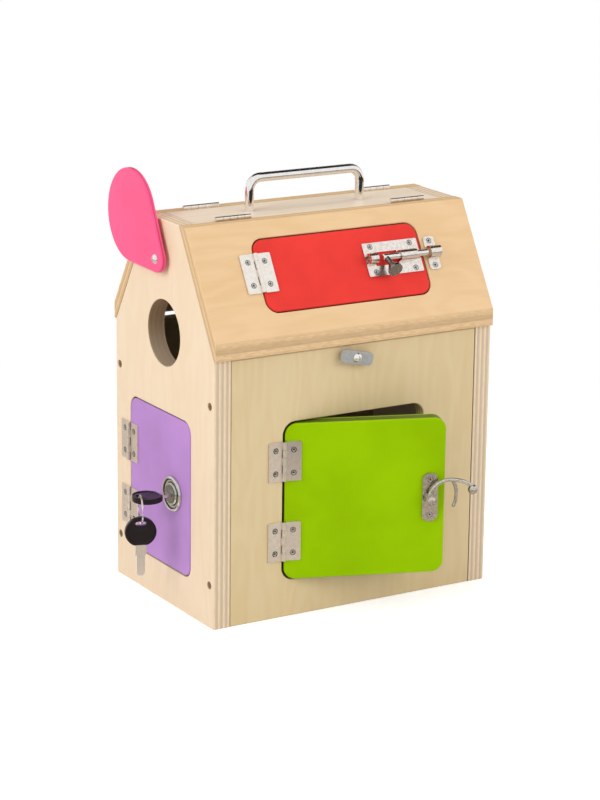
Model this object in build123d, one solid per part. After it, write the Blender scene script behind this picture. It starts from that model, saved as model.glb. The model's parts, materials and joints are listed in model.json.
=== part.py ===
from build123d import *
import os
from math import atan2, cos, degrees, hypot, radians, sin, sqrt

# A wooden lock and latch house: a gabled plywood box whose doors, roof lids and round hole
# are each closed by a different lock, latch or hinge.
# Units are millimetres. +X runs to the right along the front, +Y to the back, +Z up.
# The origin is the middle of the rectangle that the house stands on.

# House
house_width = 240.0
house_depth = 152.0
eave_height = 203.0
top_height = 292.6
top_depth = 46.8
gable_thickness = 14.0
panel_thickness = 12.0
panel_fit = 0.4
back_panel_drop = 2.5
front_panel_drop = 0.8
arris_radius = 0.8
overrun = 2.0

# Roof lids
lid_thickness = 9.0
lid_overhang = 2.5
lid_seam = 0.3

# Doors, each cut from the panel that it closes
door_gap = 0.9
door_corner_radius = 9.0
door_sill_height = 28.5
door_arris_radius = 1.2
green_opening_width = 123.0
green_opening_height = 121.5
green_opening_centre = -0.5
purple_opening_width = 95.0
purple_opening_height = 120.0
purple_opening_from_back = 22.5
red_opening_width = 143.0
red_opening_height = 57.5
red_opening_rise = 1.8
green_door_ajar_angle = 20.0

# Round hole and its swing cover
hole_radius = 25.0
hole_below_pivot = 56.3
cover_pivot_below_top = 28.3
cover_thickness = 3.7
cover_big_radius = 35.1
cover_small_radius = 10.3
cover_reach = 47.5
cover_raised_angle = 32.3
cover_washer_thickness = 3.3
cover_washer_radius = 4.5
cover_screw_head_radius = 3.6
cover_screw_head_height = 2.2
cover_screw_radius = 1.9
cover_screw_depth = 10.0

# Butt hinge, the same on every door and lid
hinge_length = 30.0
leaf_thickness = 1.0
leaf_width = 12.8
leaf_corner_radius = 1.0
knuckle_radius = 1.6
knuckle_lift = 0.3
knuckle_count = 5
knuckle_gap = 0.2
pin_radius = 0.8
pin_fit = 0.03
hinge_screw_spacing = 17.6
hinge_screw_from_pin = 7.0
pin_height = knuckle_radius + knuckle_lift
even_knuckles = range(0, knuckle_count, 2)
odd_knuckles = range(1, knuckle_count, 2)
green_hinge_heights = (59.5, 121.0)
purple_hinge_heights = (60.5, 112.0)
lid_hinge_from_gable = 30.5
lid_leaf_reach = 12.0
lid_leaf_above_board_underside = 0.8
finger_gap = 0.1
leaf_gap = 0.3
lid_pin_out = finger_gap + leaf_thickness / 2

# Small countersunk screw, used for hinges, bolt, keeper and latch
screw_head_radius = 2.2
screw_head_height = 1.3
screw_shank_radius = 1.0
screw_length = 8.0
screw_fit = 0.05
recess_width = 0.6
recess_depth = 0.5
recess_share = 0.62

# Long countersunk screws through the gables into the panel edges
gable_screw_head_radius = 3.0
gable_screw_head_height = 2.4
gable_screw_shank_radius = 1.6
gable_screw_length = 38.0
gable_screw_sink = 0.5
gable_screw_heights = (33.0, 168.5)

# Turn buttons
button_length = 27.0
button_width = 10.0
button_thickness = 3.0
button_corner_radius = 3.2
button_arris_radius = 0.7
button_height = 193.2
button_place = -2.5
button_tilt = 12.0
button_standoff = 3.3
button_screw_head_radius = 3.8
button_screw_head_height = 2.4
button_screw_radius = 1.9
button_screw_depth = 8.0
button_washer_radius = 3.4
turning_gap = 0.1
turning_fit = 0.06

# Carry handle
handle_spacing = 96.0
handle_rise = 28.0
handle_rod_radius = 3.5
handle_bend_radius = 9.0
handle_bolt_radius = 2.0
handle_bolt_hole_depth = 12.0
handle_bolt_head_radius = 4.0
handle_bolt_head_height = 2.5
handle_bolt_clearance = 0.2

# Barrel bolt on the red door
bolt_plate_length = 48.0
bolt_plate_width = 26.0
bolt_plate_thickness = 1.2
bolt_plate_from_opening = 3.5
bolt_plate_rise = 2.3
bolt_plate_corner_radius = 0.8
bolt_slot_width = 10.6
bolt_slot_left_inset = 8.0
bolt_slot_length = 20.2
bolt_strap_inset = 1.2
bolt_strap_width = 6.8
bolt_barrel_length = 14.3
bolt_barrel_wall = 1.3
bolt_rod_radius = 2.5
bolt_rod_fit = 0.3
bolt_rod_length = 40.0
bolt_tip_short_of_keeper = 0.8
bolt_tip_chamfer = 0.6
bolt_knob_from_tail = 3.0
bolt_knob_angle = 32.0
bolt_knob_neck_radius = 2.1
bolt_knob_head_radius = 5.6
bolt_knob_neck_end = 8.0
bolt_knob_end = 15.5
bolt_knob_rim = 1.6
bolt_knob_fit = 0.05
bolt_screw_inset_x = 6.6
bolt_screw_inset_y = 3.1

# Keeper on the lid
keeper_width = 9.5
keeper_length = 26.0
keeper_from_opening = 2.6
keeper_screw_inset = 3.4
keeper_wall = 1.2
keeper_clearance = 1.0
keeper_corner_radius = 2.4

# Swing hook latch on the green door
latch_plate_width = 11.6
latch_plate_length = 37.0
latch_plate_thickness = 1.5
latch_plate_from_pin = 110.2
latch_plate_height = 88.5
latch_plate_round = 4.5
latch_plate_chamfer = 3.0
latch_screw_spacing = 27.0
latch_pivot_height = 87.3
latch_boss_radius = 4.4
latch_boss_top = 4.2
latch_hub_radius = 4.6
latch_hub_thickness = 3.4
latch_arm_radius = 1.5
latch_finger_radius = 1.4
latch_arm_height = 6.0
latch_rivet_radius = 1.7
latch_rivet_head_radius = 3.0
latch_rivet_head_height = 1.4
latch_root_reach = -2.0
latch_root_rise = 2.6
latch_shoulder_reach = 5.1
latch_shoulder_rise = 12.9
latch_crest_reach = 15.5
latch_crest_rise = 15.5
latch_lever_reach = 31.5
latch_lever_rise = 9.6
latch_ball_radius = 3.8
latch_ball_drop = 2.4
latch_finger_reach = 18.9
latch_finger_rise = 4.0
latch_tip_reach = 16.9
latch_tip_rise = -4.7

# Headed stud on the front panel, behind which the hook swings
stud_radius = 1.5
stud_head_radius = 4.3
stud_head_height = 1.8
stud_from_pivot = 22.0
stud_angle = -34.0
stud_clearance = 0.3
stud_depth = 8.0

# Cam lock in the purple door
lock_from_pin = 68.0
lock_height = 88.4
lock_flange_radius = 13.5
lock_flange_thickness = 3.0
lock_flange_round = 1.8
lock_barrel_radius = 9.4
lock_barrel_fit = 0.1
lock_barrel_past_door = 8.0
lock_plug_radius = 7.0
lock_plug_fit = 0.06
lock_plug_proud = 0.5
lock_nut_flats = 24.0
lock_nut_thickness = 4.0
cam_thickness = 2.0
cam_width = 14.0
cam_reach = 36.0
cam_gap = 0.4
cam_end_radius = 4.0
cam_door_clearance = 1.0
cam_nut_clearance = 0.7
cam_screw_radius = 2.0
cam_screw_depth = 4.0
cam_screw_head_radius = 4.0
cam_screw_head_height = 2.2
keyway_fit = 0.2

# Keys and split ring
key_head_half_width = 12.6
key_head_half_length = 11.3
key_head_thickness = 4.2
key_head_round = 1.3
key_head_from_face = 21.8
key_slot_length = 8.0
key_slot_width = 3.4
key_slot_from_centre = 6.5
key_notch_width = 9.6
key_notch_depth = 1.2
key_shoulder_width = 8.2
key_shoulder_length = 6.8
key_blade_width = 6.2
key_blade_thickness = 2.0
key_blade_length = 22.5
key_blade_in_head = 5.0
key_blade_tip = 2.0
key_blade_fit = 0.05
ring_radius = 10.2
ring_wire_radius = 0.6
ring_turn_angle = 72.0
ring_back_in_slot = 1.6
ring_drop = 5.8
key_hang_gap = 0.5

# Cross-section of the roof, worked out from the sizes above
slope_run = (house_depth - top_depth) / 2
slope_rise = top_height - eave_height
slope_length = hypot(slope_run, slope_rise)
slope_cos = slope_run / slope_length
slope_sin = slope_rise / slope_length
lid_level_width = lid_thickness / slope_sin
lid_top_edge_y = top_depth / 2 + lid_level_width
lid_cut_height = (lid_level_width - lid_overhang) * slope_rise / slope_run
panel_length = house_width - 2 * gable_thickness - 2 * panel_fit
lid_hinge_place = house_width / 2 - gable_thickness - lid_hinge_from_gable
cover_pivot_height = top_height - cover_pivot_below_top
hole_height = cover_pivot_height - hole_below_pivot
purple_opening_back = house_depth / 2 - purple_opening_from_back
bolt_plate_left = red_opening_width / 2 - bolt_plate_from_opening - bolt_plate_length

green_opening_left = green_opening_centre - green_opening_width / 2

# Working planes: local X to the right and local Y up, seen from outside
green_pin_x = green_opening_left + door_gap / 2
purple_pin_y = purple_opening_back - door_gap / 2
red_pin_x = -red_opening_width / 2 + door_gap / 2
front_face = Plane(origin=(0, -house_depth / 2, 0), x_dir=(1, 0, 0), z_dir=(0, -1, 0))
back_face = Plane(origin=(0, house_depth / 2, 0), x_dir=(-1, 0, 0), z_dir=(0, 1, 0))
left_face = Plane(origin=(-house_width / 2, 0, 0), x_dir=(0, -1, 0), z_dir=(-1, 0, 0))
right_face = Plane(origin=(house_width / 2, 0, 0), x_dir=(0, 1, 0), z_dir=(1, 0, 0))
lid_face = Plane(
    origin=(0, -lid_top_edge_y, top_height),
    x_dir=(1, 0, 0),
    z_dir=(0, -slope_sin, slope_cos),
)
lid_face_length = (slope_rise - lid_cut_height) / slope_sin
red_centre_y = red_opening_rise - lid_face_length / 2
green_hinge_axis = Axis((green_pin_x, -house_depth / 2 - pin_height, 0), (0, 0, 1))

made = {}
holes = {}


def keep(name, *solids):
    """Collect the solids of one named piece, or of one group of identical fasteners."""
    made.setdefault(name, []).extend(solids)


def on(plane, shape, x=0, y=0, z=0):
    """Carry a shape from the local origin to a place on a working plane."""
    return plane.location * Pos(x, y, z) * shape


def slab(plane, sketch, x, y, top, bottom):
    """A sketch made solid between two depths measured outwards from a plane."""
    return on(plane, extrude(sketch, amount=top - bottom), x, y, bottom)


def block(x_low, x_high, y_low, y_high, z_low, z_high):
    """A box given by its six limits."""
    corner = (Align.MIN, Align.MIN, Align.MIN)
    return Pos(x_low, y_low, z_low) * Box(x_high - x_low, y_high - y_low, z_high - z_low, align=corner)


def round_bar(radius, low, high):
    """A cylinder along local Z between two heights."""
    centred = (Align.CENTER, Align.CENTER, Align.MIN)
    return Pos(0, 0, low) * Cylinder(radius, high - low, align=centred)


def profile_along_x(points, x_low, x_high):
    """A solid with a Y and Z outline, running along X."""
    outline = make_face(Polyline(*points, close=True))
    return Pos(x_low, 0, 0) * extrude(Plane.YZ * outline, amount=x_high - x_low)


def soften(solid, plane, radius):
    """Round the arrises of the face of a solid that lies on a working plane."""
    outer = min(solid.faces(), key=lambda face: abs(plane.to_local_coords(face.center()).Z))
    return fillet(outer.edges(), radius)


def countersunk(head_radius, head_height, shank_radius, length):
    """A countersunk screw body, head level with local Z zero, pointing down."""
    outline = make_face(Polyline(
        (0, 0), (head_radius, 0), (shank_radius, -head_height),
        (shank_radius, -length), (0, -length), close=True,
    ))
    return revolve(Plane.XZ * outline, Axis.Z)


def cross_recess(head_radius):
    """The cross cut in a screw head."""
    arm = 2 * head_radius * recess_share
    bars = Box(arm, recess_width, 2 * recess_depth) + Box(recess_width, arm, 2 * recess_depth)
    return bars


def small_screw():
    """The small cross-head screw that fixes all the hardware."""
    body = countersunk(screw_head_radius, screw_head_height, screw_shank_radius, screw_length)
    return body - cross_recess(screw_head_radius)


def small_screw_hole():
    """The hole that one small screw needs, through hardware and wood alike."""
    hole = countersunk(
        screw_head_radius + screw_fit, screw_head_height,
        screw_shank_radius + screw_fit, screw_length + screw_fit,
    )
    return hole + round_bar(screw_head_radius + screw_fit, 0, overrun)


def dome_screw(head_radius, head_height, shank_radius, shank_length):
    """A screw with a domed head that rests on local Z zero, pointing down."""
    sphere_radius = (head_radius ** 2 + head_height ** 2) / (2 * head_height)
    ball = Pos(0, 0, head_height - sphere_radius) * Sphere(sphere_radius)
    head = ball & round_bar(head_radius, 0, head_height)
    cross = Pos(0, 0, head_height) * cross_recess(head_radius)
    return head + round_bar(shank_radius, -shank_length, 0) - cross


# Hinges
def knuckle_limits(index):
    """Where one knuckle starts and ends along the pin."""
    pitch = hinge_length / knuckle_count
    low = -hinge_length / 2 + index * pitch
    return low + knuckle_gap / 2, low + pitch - knuckle_gap / 2


def along_pin(radius, across, height, low, high):
    """A round bar along local Y between two places."""
    return Pos(across, high, height) * Rot(90, 0, 0) * round_bar(radius, 0, high - low)


def pin_bore(across, height):
    """The bore through all the knuckles of a leaf."""
    half = hinge_length / 2 + overrun
    return along_pin(pin_radius + pin_fit, across, height, -half, half)


def hinge_leaf(indices):
    """One leaf lying on local Z zero, its pin along local Y above X zero, its plate to +X."""
    start = knuckle_radius + knuckle_lift
    plate = block(start, leaf_width, -hinge_length / 2, hinge_length / 2, 0, leaf_thickness)
    corners = plate.edges().filter_by(Axis.Z).group_by(Axis.X)[-1]
    leaf = fillet(corners, leaf_corner_radius)
    for index in indices:
        low, high = knuckle_limits(index)
        leaf += block(0, start, low, high, 0, leaf_thickness)
        leaf += along_pin(knuckle_radius, 0, pin_height, low, high)
    return leaf - pin_bore(0, pin_height)


def screw_leaf(leaf, plane, seat, wood, screws):
    """Put the two screws of a leaf in their seat, and their holes in the leaf and its wood."""
    for spot in (-hinge_screw_spacing / 2, hinge_screw_spacing / 2):
        place = Pos(0, spot, 0) * seat
        leaf -= place * small_screw_hole()
        holes.setdefault(wood, []).append(on(plane, place * small_screw_hole()))
        keep(screws, on(plane, place * small_screw()))
    return leaf


def hinge_pin(across, height):
    """The pin of a hinge, along local Y."""
    return Pos(across, hinge_length / 2, height) * Rot(90, 0, 0) * round_bar(pin_radius, 0, hinge_length)


def add_hinge(plane, name, fixed_wood, moving_wood, fixed_screws, moving_screws):
    """Place one flat hinge on a plane whose local Y is the pin, and screw it to the two woods."""
    fixed = mirror(hinge_leaf(even_knuckles), Plane.YZ)
    fixed = screw_leaf(fixed, plane, Pos(-hinge_screw_from_pin, 0, leaf_thickness), fixed_wood, fixed_screws)
    moving = hinge_leaf(odd_knuckles)
    screw_spot = Pos(hinge_screw_from_pin, 0, leaf_thickness)
    moving = screw_leaf(moving, plane, screw_spot, moving_wood, moving_screws)
    keep(name + "_hinge_fixed_leaves", on(plane, fixed))
    keep(name + "_hinge_moving_leaves", on(plane, moving))
    keep(name + "_hinge_pins", on(plane, hinge_pin(0, pin_height)))


def drilled(name, wood):
    """Take all the holes listed for one wooden piece out of it."""
    for hole in holes.get(name, []):
        wood -= hole
    return wood


def under_lid(distance, depth):
    """Local X and Z of a point down the slope from the top board's corner, so deep below the lid."""
    return distance * slope_cos - depth * slope_sin, -distance * slope_sin - depth * slope_cos


def bent_leaf():
    """The lid's leaf: fingers straight down from the pin through the seam, then a plate under the lid."""
    half = leaf_thickness / 2
    steepness = slope_rise / slope_run
    inner = lid_pin_out - half
    outer = lid_pin_out + half
    inner_bend = -(inner + leaf_thickness * slope_sin) * steepness - leaf_thickness * slope_cos
    outline = make_face(Polyline(
        (inner, pin_height), (outer, pin_height), (outer, -outer * steepness), under_lid(lid_leaf_reach, 0),
        under_lid(lid_leaf_reach, leaf_thickness), (inner, inner_bend), close=True,
    ))
    back = Plane(origin=(0, hinge_length / 2, 0), x_dir=(1, 0, 0), z_dir=(0, -1, 0))
    leaf = extrude(back * outline, amount=hinge_length)
    for index in even_knuckles:
        low, high = knuckle_limits(index)
        leaf -= block(-overrun, leaf_thickness + leaf_gap, low - knuckle_gap, high + knuckle_gap,
                      -lid_leaf_reach, pin_height + overrun)
    for index in odd_knuckles:
        low, high = knuckle_limits(index)
        leaf += along_pin(knuckle_radius, lid_pin_out, pin_height, low, high)
    return leaf - pin_bore(lid_pin_out, pin_height)


def upright_leaf(split):
    """The top board's leaf: a plate on the board's edge below a split, with fingers up to the pin."""
    low_edge = lid_leaf_above_board_underside - panel_thickness
    leaf = block(0, leaf_thickness, -hinge_length / 2, hinge_length / 2, low_edge, split)
    for index in even_knuckles:
        low, high = knuckle_limits(index)
        leaf += block(0, leaf_thickness, low, high, low_edge, pin_height)
        leaf += along_pin(knuckle_radius, lid_pin_out, pin_height, low, high)
    return leaf - pin_bore(lid_pin_out, pin_height)


def add_lid_hinge(side, along, name):
    """A butt hinge in the seam of a lid, of which only the knuckles show; side -1 is the front."""
    plane = Plane(
        origin=(-side * along, side * top_depth / 2, top_height), x_dir=(0, side, 0), z_dir=(0, 0, 1),
    )
    start = (leaf_thickness + leaf_gap + leaf_thickness * slope_sin) / slope_cos
    split = under_lid((leaf_thickness + leaf_thickness * slope_sin) / slope_cos, leaf_thickness)[1] - leaf_gap
    middle = (split + lid_leaf_above_board_underside - panel_thickness) / 2
    across, drop = under_lid((start + lid_leaf_reach) / 2, leaf_thickness)
    facing = degrees(atan2(-slope_sin, -slope_cos))
    fixed = screw_leaf(upright_leaf(split), plane, Pos(leaf_thickness, 0, middle) * Rot(0, 90, 0),
                       "top_board", "house_hinge_screws")
    moving = screw_leaf(bent_leaf(), plane, Pos(across, 0, drop) * Rot(0, facing, 0),
                        name, name + "_screws")
    notch = block(-overrun, lid_pin_out + leaf_thickness / 2 + leaf_gap,
                  -hinge_length / 2 - leaf_gap, hinge_length / 2 + leaf_gap, -lid_leaf_reach, overrun)
    holes.setdefault(name, []).append(on(plane, notch))
    keep(name + "_hinge_fixed_leaves", on(plane, fixed))
    keep(name + "_hinge_moving_leaves", on(plane, moving))
    keep(name + "_hinge_pins", on(plane, hinge_pin(lid_pin_out, pin_height)))


def place_hinges():
    """Every hinge of the house, with the screws of its two leaves."""
    for height in green_hinge_heights:
        place = Plane(origin=(green_pin_x, -house_depth / 2, height), x_dir=(1, 0, 0), z_dir=(0, -1, 0))
        add_hinge(place, "green_door", "front_panel", "green_door", "house_hinge_screws", "green_door_screws")
    for height in purple_hinge_heights:
        place = Plane(origin=(-house_width / 2, purple_pin_y, height), x_dir=(0, -1, 0), z_dir=(-1, 0, 0))
        add_hinge(place, "purple_door", "left_gable", "purple_door", "house_hinge_screws",
                  "purple_door_screws")
    place = Plane(lid_face.location * Pos(red_pin_x, red_centre_y + bolt_plate_rise, 0))
    add_hinge(place, "red_door", "front_lid", "red_door", "front_lid_screws", "red_door_screws")
    for along in (-lid_hinge_place, lid_hinge_place):
        add_lid_hinge(-1, along, "front_lid")
        add_lid_hinge(1, along, "back_lid")


# Wooden case
def doorway(width, height):
    """The outline of an opening, its corners rounder than the door's by the gap."""
    return RectangleRounded(width, height, door_corner_radius + door_gap)


def door_leaf(width, height):
    """The outline of the door that fills such an opening with the gap all round."""
    return RectangleRounded(width - 2 * door_gap, height - 2 * door_gap, door_corner_radius)


def gable_outline():
    """Upright sides, two steep slopes and a narrow flat top."""
    half = house_depth / 2
    top = top_depth / 2
    return (
        (-half, 0), (half, 0), (half, eave_height),
        (top, top_height), (-top, top_height), (-half, eave_height),
    )


def gable_screw_places():
    """Places of the long screws on a gable: up the front and back panels."""
    middle = house_depth / 2 - panel_thickness / 2
    return [(side * middle, height) for side in (-1, 1) for height in gable_screw_heights]


def gable_screw():
    """A long dark screw, its head just under the face of the gable."""
    body = countersunk(
        gable_screw_head_radius, gable_screw_head_height, gable_screw_shank_radius, gable_screw_length,
    )
    return Pos(0, 0, -gable_screw_sink) * (body - cross_recess(gable_screw_head_radius))


def gable_screw_hole():
    """The hole for one long screw, open at the face."""
    head = gable_screw_head_radius + screw_fit
    body = countersunk(
        head, gable_screw_head_height, gable_screw_shank_radius + screw_fit, gable_screw_length + screw_fit,
    )
    return Pos(0, 0, -gable_screw_sink) * (body + round_bar(head, 0, gable_screw_sink + overrun))


def place_gable_screws():
    """The long screws through both gables into the front and back panels."""
    for face, gable in ((left_face, "left_gable"), (right_face, "right_gable")):
        for y, z in gable_screw_places():
            across = y * face.x_dir.Y
            keep("gable_screws", on(face, gable_screw(), across, z, 0))
            hole = on(face, gable_screw_hole(), across, z, 0)
            panel = "front_panel" if y < 0 else "back_panel"
            holes.setdefault(gable, []).append(hole)
            holes.setdefault(panel, []).append(hole)


def make_gables():
    """The two end walls; the left one has the round hole and the purple door's opening."""
    outer = house_width / 2
    inner = outer - gable_thickness
    left = profile_along_x(gable_outline(), -outer, -inner)
    hole = on(left_face, round_bar(hole_radius, -gable_thickness - overrun, overrun), 0, hole_height, 0)
    across = purple_opening_width / 2 - purple_opening_back
    opening = slab(left_face, doorway(purple_opening_width, purple_opening_height),
                   across, door_sill_height + purple_opening_height / 2,
                   overrun, -gable_thickness - overrun)
    left = soften(left - hole - opening, left_face, arris_radius)
    right = soften(profile_along_x(gable_outline(), inner, outer), right_face, arris_radius)
    keep("left_gable", drilled("left_gable", left))
    keep("right_gable", drilled("right_gable", right))


def make_panels():
    """Front, back and base panels and the top board, all held between the gables."""
    half_length = panel_length / 2
    half_depth = house_depth / 2
    front = block(-half_length, half_length, -half_depth, panel_thickness - half_depth, 0,
                  eave_height - front_panel_drop)
    opening = slab(front_face, doorway(green_opening_width, green_opening_height),
                   green_opening_left + green_opening_width / 2, door_sill_height + green_opening_height / 2,
                   overrun, -panel_thickness - overrun)
    front = soften(front - opening, front_face, arris_radius)
    back = block(-half_length, half_length, half_depth - panel_thickness, half_depth, 0,
                 eave_height - back_panel_drop)
    back = soften(back, back_face, arris_radius)
    inner_depth = half_depth - panel_thickness - panel_fit
    base = block(-half_length, half_length, -inner_depth, inner_depth, 0, panel_thickness)
    top = block(-half_length, half_length, -top_depth / 2, top_depth / 2,
                top_height - panel_thickness, top_height)
    keep("front_panel", drilled("front_panel", front))
    keep("back_panel", drilled("back_panel", back))
    keep("base_panel", base)
    keep("top_board", drilled("top_board", top))


def lid_outline():
    """A lid laid on the front slopes, level at the top and at the eave, and cut upright at the eave."""
    half = house_depth / 2
    seam = top_depth / 2 + lid_seam
    foot = half + lid_overhang
    seam_z = top_height - lid_seam * slope_rise / slope_run
    return (
        (-seam, top_height), (-seam, seam_z), (-half, eave_height), (-foot, eave_height),
        (-foot, eave_height + lid_cut_height), (-lid_top_edge_y, top_height),
    )


def make_lids():
    """The two roof lids; the front one has the red door's opening."""
    outline = lid_outline()
    front = profile_along_x(outline, -house_width / 2, house_width / 2)
    opening = slab(lid_face, doorway(red_opening_width, red_opening_height),
                   0, red_centre_y, overrun, -lid_thickness - overrun)
    front = soften(front - opening, lid_face, arris_radius)
    plain = profile_along_x(outline, -house_width / 2, house_width / 2)
    plain = soften(plain, lid_face, arris_radius)
    back = mirror(plain, Plane.XZ)
    keep("front_lid", drilled("front_lid", front))
    keep("back_lid", drilled("back_lid", back))


def make_doors():
    """The three painted doors, each as thick as the panel round it."""
    green = slab(front_face, door_leaf(green_opening_width, green_opening_height),
                 green_opening_left + green_opening_width / 2, door_sill_height + green_opening_height / 2,
                 0, -panel_thickness)
    across = purple_opening_width / 2 - purple_opening_back
    purple = slab(left_face, door_leaf(purple_opening_width, purple_opening_height),
                  across, door_sill_height + purple_opening_height / 2, 0, -gable_thickness)
    red = slab(lid_face, door_leaf(red_opening_width, red_opening_height), 0, red_centre_y, 0, -lid_thickness)
    keep("green_door", drilled("green_door", soften(green, front_face, door_arris_radius)))
    keep("purple_door", drilled("purple_door", soften(purple, left_face, door_arris_radius)))
    keep("red_door", drilled("red_door", soften(red, lid_face, door_arris_radius)))


# Swing cover
def cover_outline():
    """A drop: a large round end and a small round end at the pivot, joined by straight sides."""
    big = Pos(cover_reach, 0) * Circle(cover_big_radius)
    return make_hull((big + Circle(cover_small_radius)).edges())


def make_cover():
    """The pink cover, raised to the back on its domed screw and thick washer."""
    pivot_hole = round_bar(cover_screw_radius + turning_fit, -overrun, cover_thickness + overrun)
    plate = extrude(cover_outline(), amount=cover_thickness)
    outer = plate.faces().sort_by(Axis.Z)[-1]
    plate = fillet(outer.edges(), door_arris_radius) - pivot_hole
    lift = cover_washer_thickness + turning_gap
    turned = Rot(0, 0, 180 - cover_raised_angle) * plate
    keep("hole_cover", on(left_face, turned, 0, cover_pivot_height, lift))
    washer = round_bar(cover_washer_radius, 0, cover_washer_thickness)
    washer -= round_bar(cover_screw_radius + screw_fit, -overrun, cover_washer_thickness + overrun)
    keep("cover_washer", on(left_face, washer, 0, cover_pivot_height, 0))
    head_seat = lift + cover_thickness + turning_gap
    screw = dome_screw(
        cover_screw_head_radius, cover_screw_head_height, cover_screw_radius, head_seat + cover_screw_depth,
    )
    keep("cover_screw", on(left_face, screw, 0, cover_pivot_height, head_seat))
    hole = round_bar(cover_screw_radius + screw_fit, -cover_screw_depth - screw_fit, overrun)
    holes.setdefault("left_gable", []).append(on(left_face, hole, 0, cover_pivot_height, 0))


# Turn buttons
def make_turn_buttons():
    """A turn button at the top of the front and back panels, clear of the lid's overhang."""
    for face, name, panel in ((front_face, "front_turn_button", "front_panel"),
                              (back_face, "back_turn_button", "back_panel")):
        plate = extrude(RectangleRounded(button_length, button_width, button_corner_radius),
                        amount=button_thickness)
        plate = fillet(plate.faces().sort_by(Axis.Z)[-1].edges(), button_arris_radius)
        plate -= round_bar(button_screw_radius + turning_fit, -overrun, button_thickness + overrun)
        lift = button_standoff + turning_gap
        keep(name, on(face, Rot(0, 0, -button_tilt) * plate, button_place, button_height, lift))
        washer = round_bar(button_washer_radius, 0, button_standoff)
        washer -= round_bar(button_screw_radius + screw_fit, -overrun, button_standoff + overrun)
        keep("button_spacers", on(face, washer, button_place, button_height, 0))
        head_seat = lift + button_thickness + turning_gap
        screw = dome_screw(
            button_screw_head_radius, button_screw_head_height, button_screw_radius,
            head_seat + button_screw_depth,
        )
        keep("button_screws", on(face, screw, button_place, button_height, head_seat))
        hole = round_bar(button_screw_radius + screw_fit, -button_screw_depth - screw_fit, overrun)
        holes.setdefault(panel, []).append(on(face, hole, button_place, button_height, 0))


# Carry handle
def make_handle():
    """A bent chrome rod bolted from under the top board."""
    half = handle_spacing / 2
    crest = top_height + handle_rise - handle_rod_radius
    path = FilletPolyline(
        (-half, 0, top_height), (-half, 0, crest), (half, 0, crest), (half, 0, top_height),
        radius=handle_bend_radius,
    )
    section = Plane(origin=(-half, 0, top_height), z_dir=(0, 0, 1)) * Circle(handle_rod_radius)
    rod = sweep(section, path=path)
    board_under = top_height - panel_thickness
    for side in (-1, 1):
        hole = round_bar(handle_bolt_radius + screw_fit, -overrun, handle_bolt_hole_depth)
        rod -= Pos(side * half, 0, top_height) * hole
        through = round_bar(handle_bolt_radius + handle_bolt_clearance, -panel_thickness - overrun, overrun)
        holes.setdefault("top_board", []).append(Pos(side * half, 0, top_height) * through)
        shank_length = panel_thickness + handle_bolt_hole_depth - screw_fit
        bolt = Rot(180, 0, 0) * dome_screw(
            handle_bolt_head_radius, handle_bolt_head_height, handle_bolt_radius, shank_length,
        )
        keep("handle_bolts", Pos(side * half, 0, board_under) * bolt)
    keep("carry_handle", rod)


# Barrel bolt
def arch_section(inner_radius, wall):
    """A round-topped arch over the rod, open below, standing on local Y zero."""
    outer_radius = inner_radius + wall
    height = rod_height()
    outside = Pos(0, height) * Circle(outer_radius)
    outside += Pos(0, height / 2) * Rectangle(2 * outer_radius, height)
    inside = Pos(0, height) * Circle(inner_radius)
    inside += Pos(0, (height - overrun) / 2) * Rectangle(2 * inner_radius, height + overrun)
    kept = Pos(0, outer_radius * 2) * Rectangle(4 * outer_radius, 4 * outer_radius)
    return (outside - inside) & kept


def rod_height():
    """Height of the rod's centre line over the door's face."""
    return bolt_plate_thickness + bolt_rod_radius + bolt_rod_fit


def arch(length, inner_radius, wall):
    """An arch running along local X from zero."""
    section = Plane.YZ * arch_section(inner_radius, wall)
    return extrude(section, amount=length)


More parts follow.
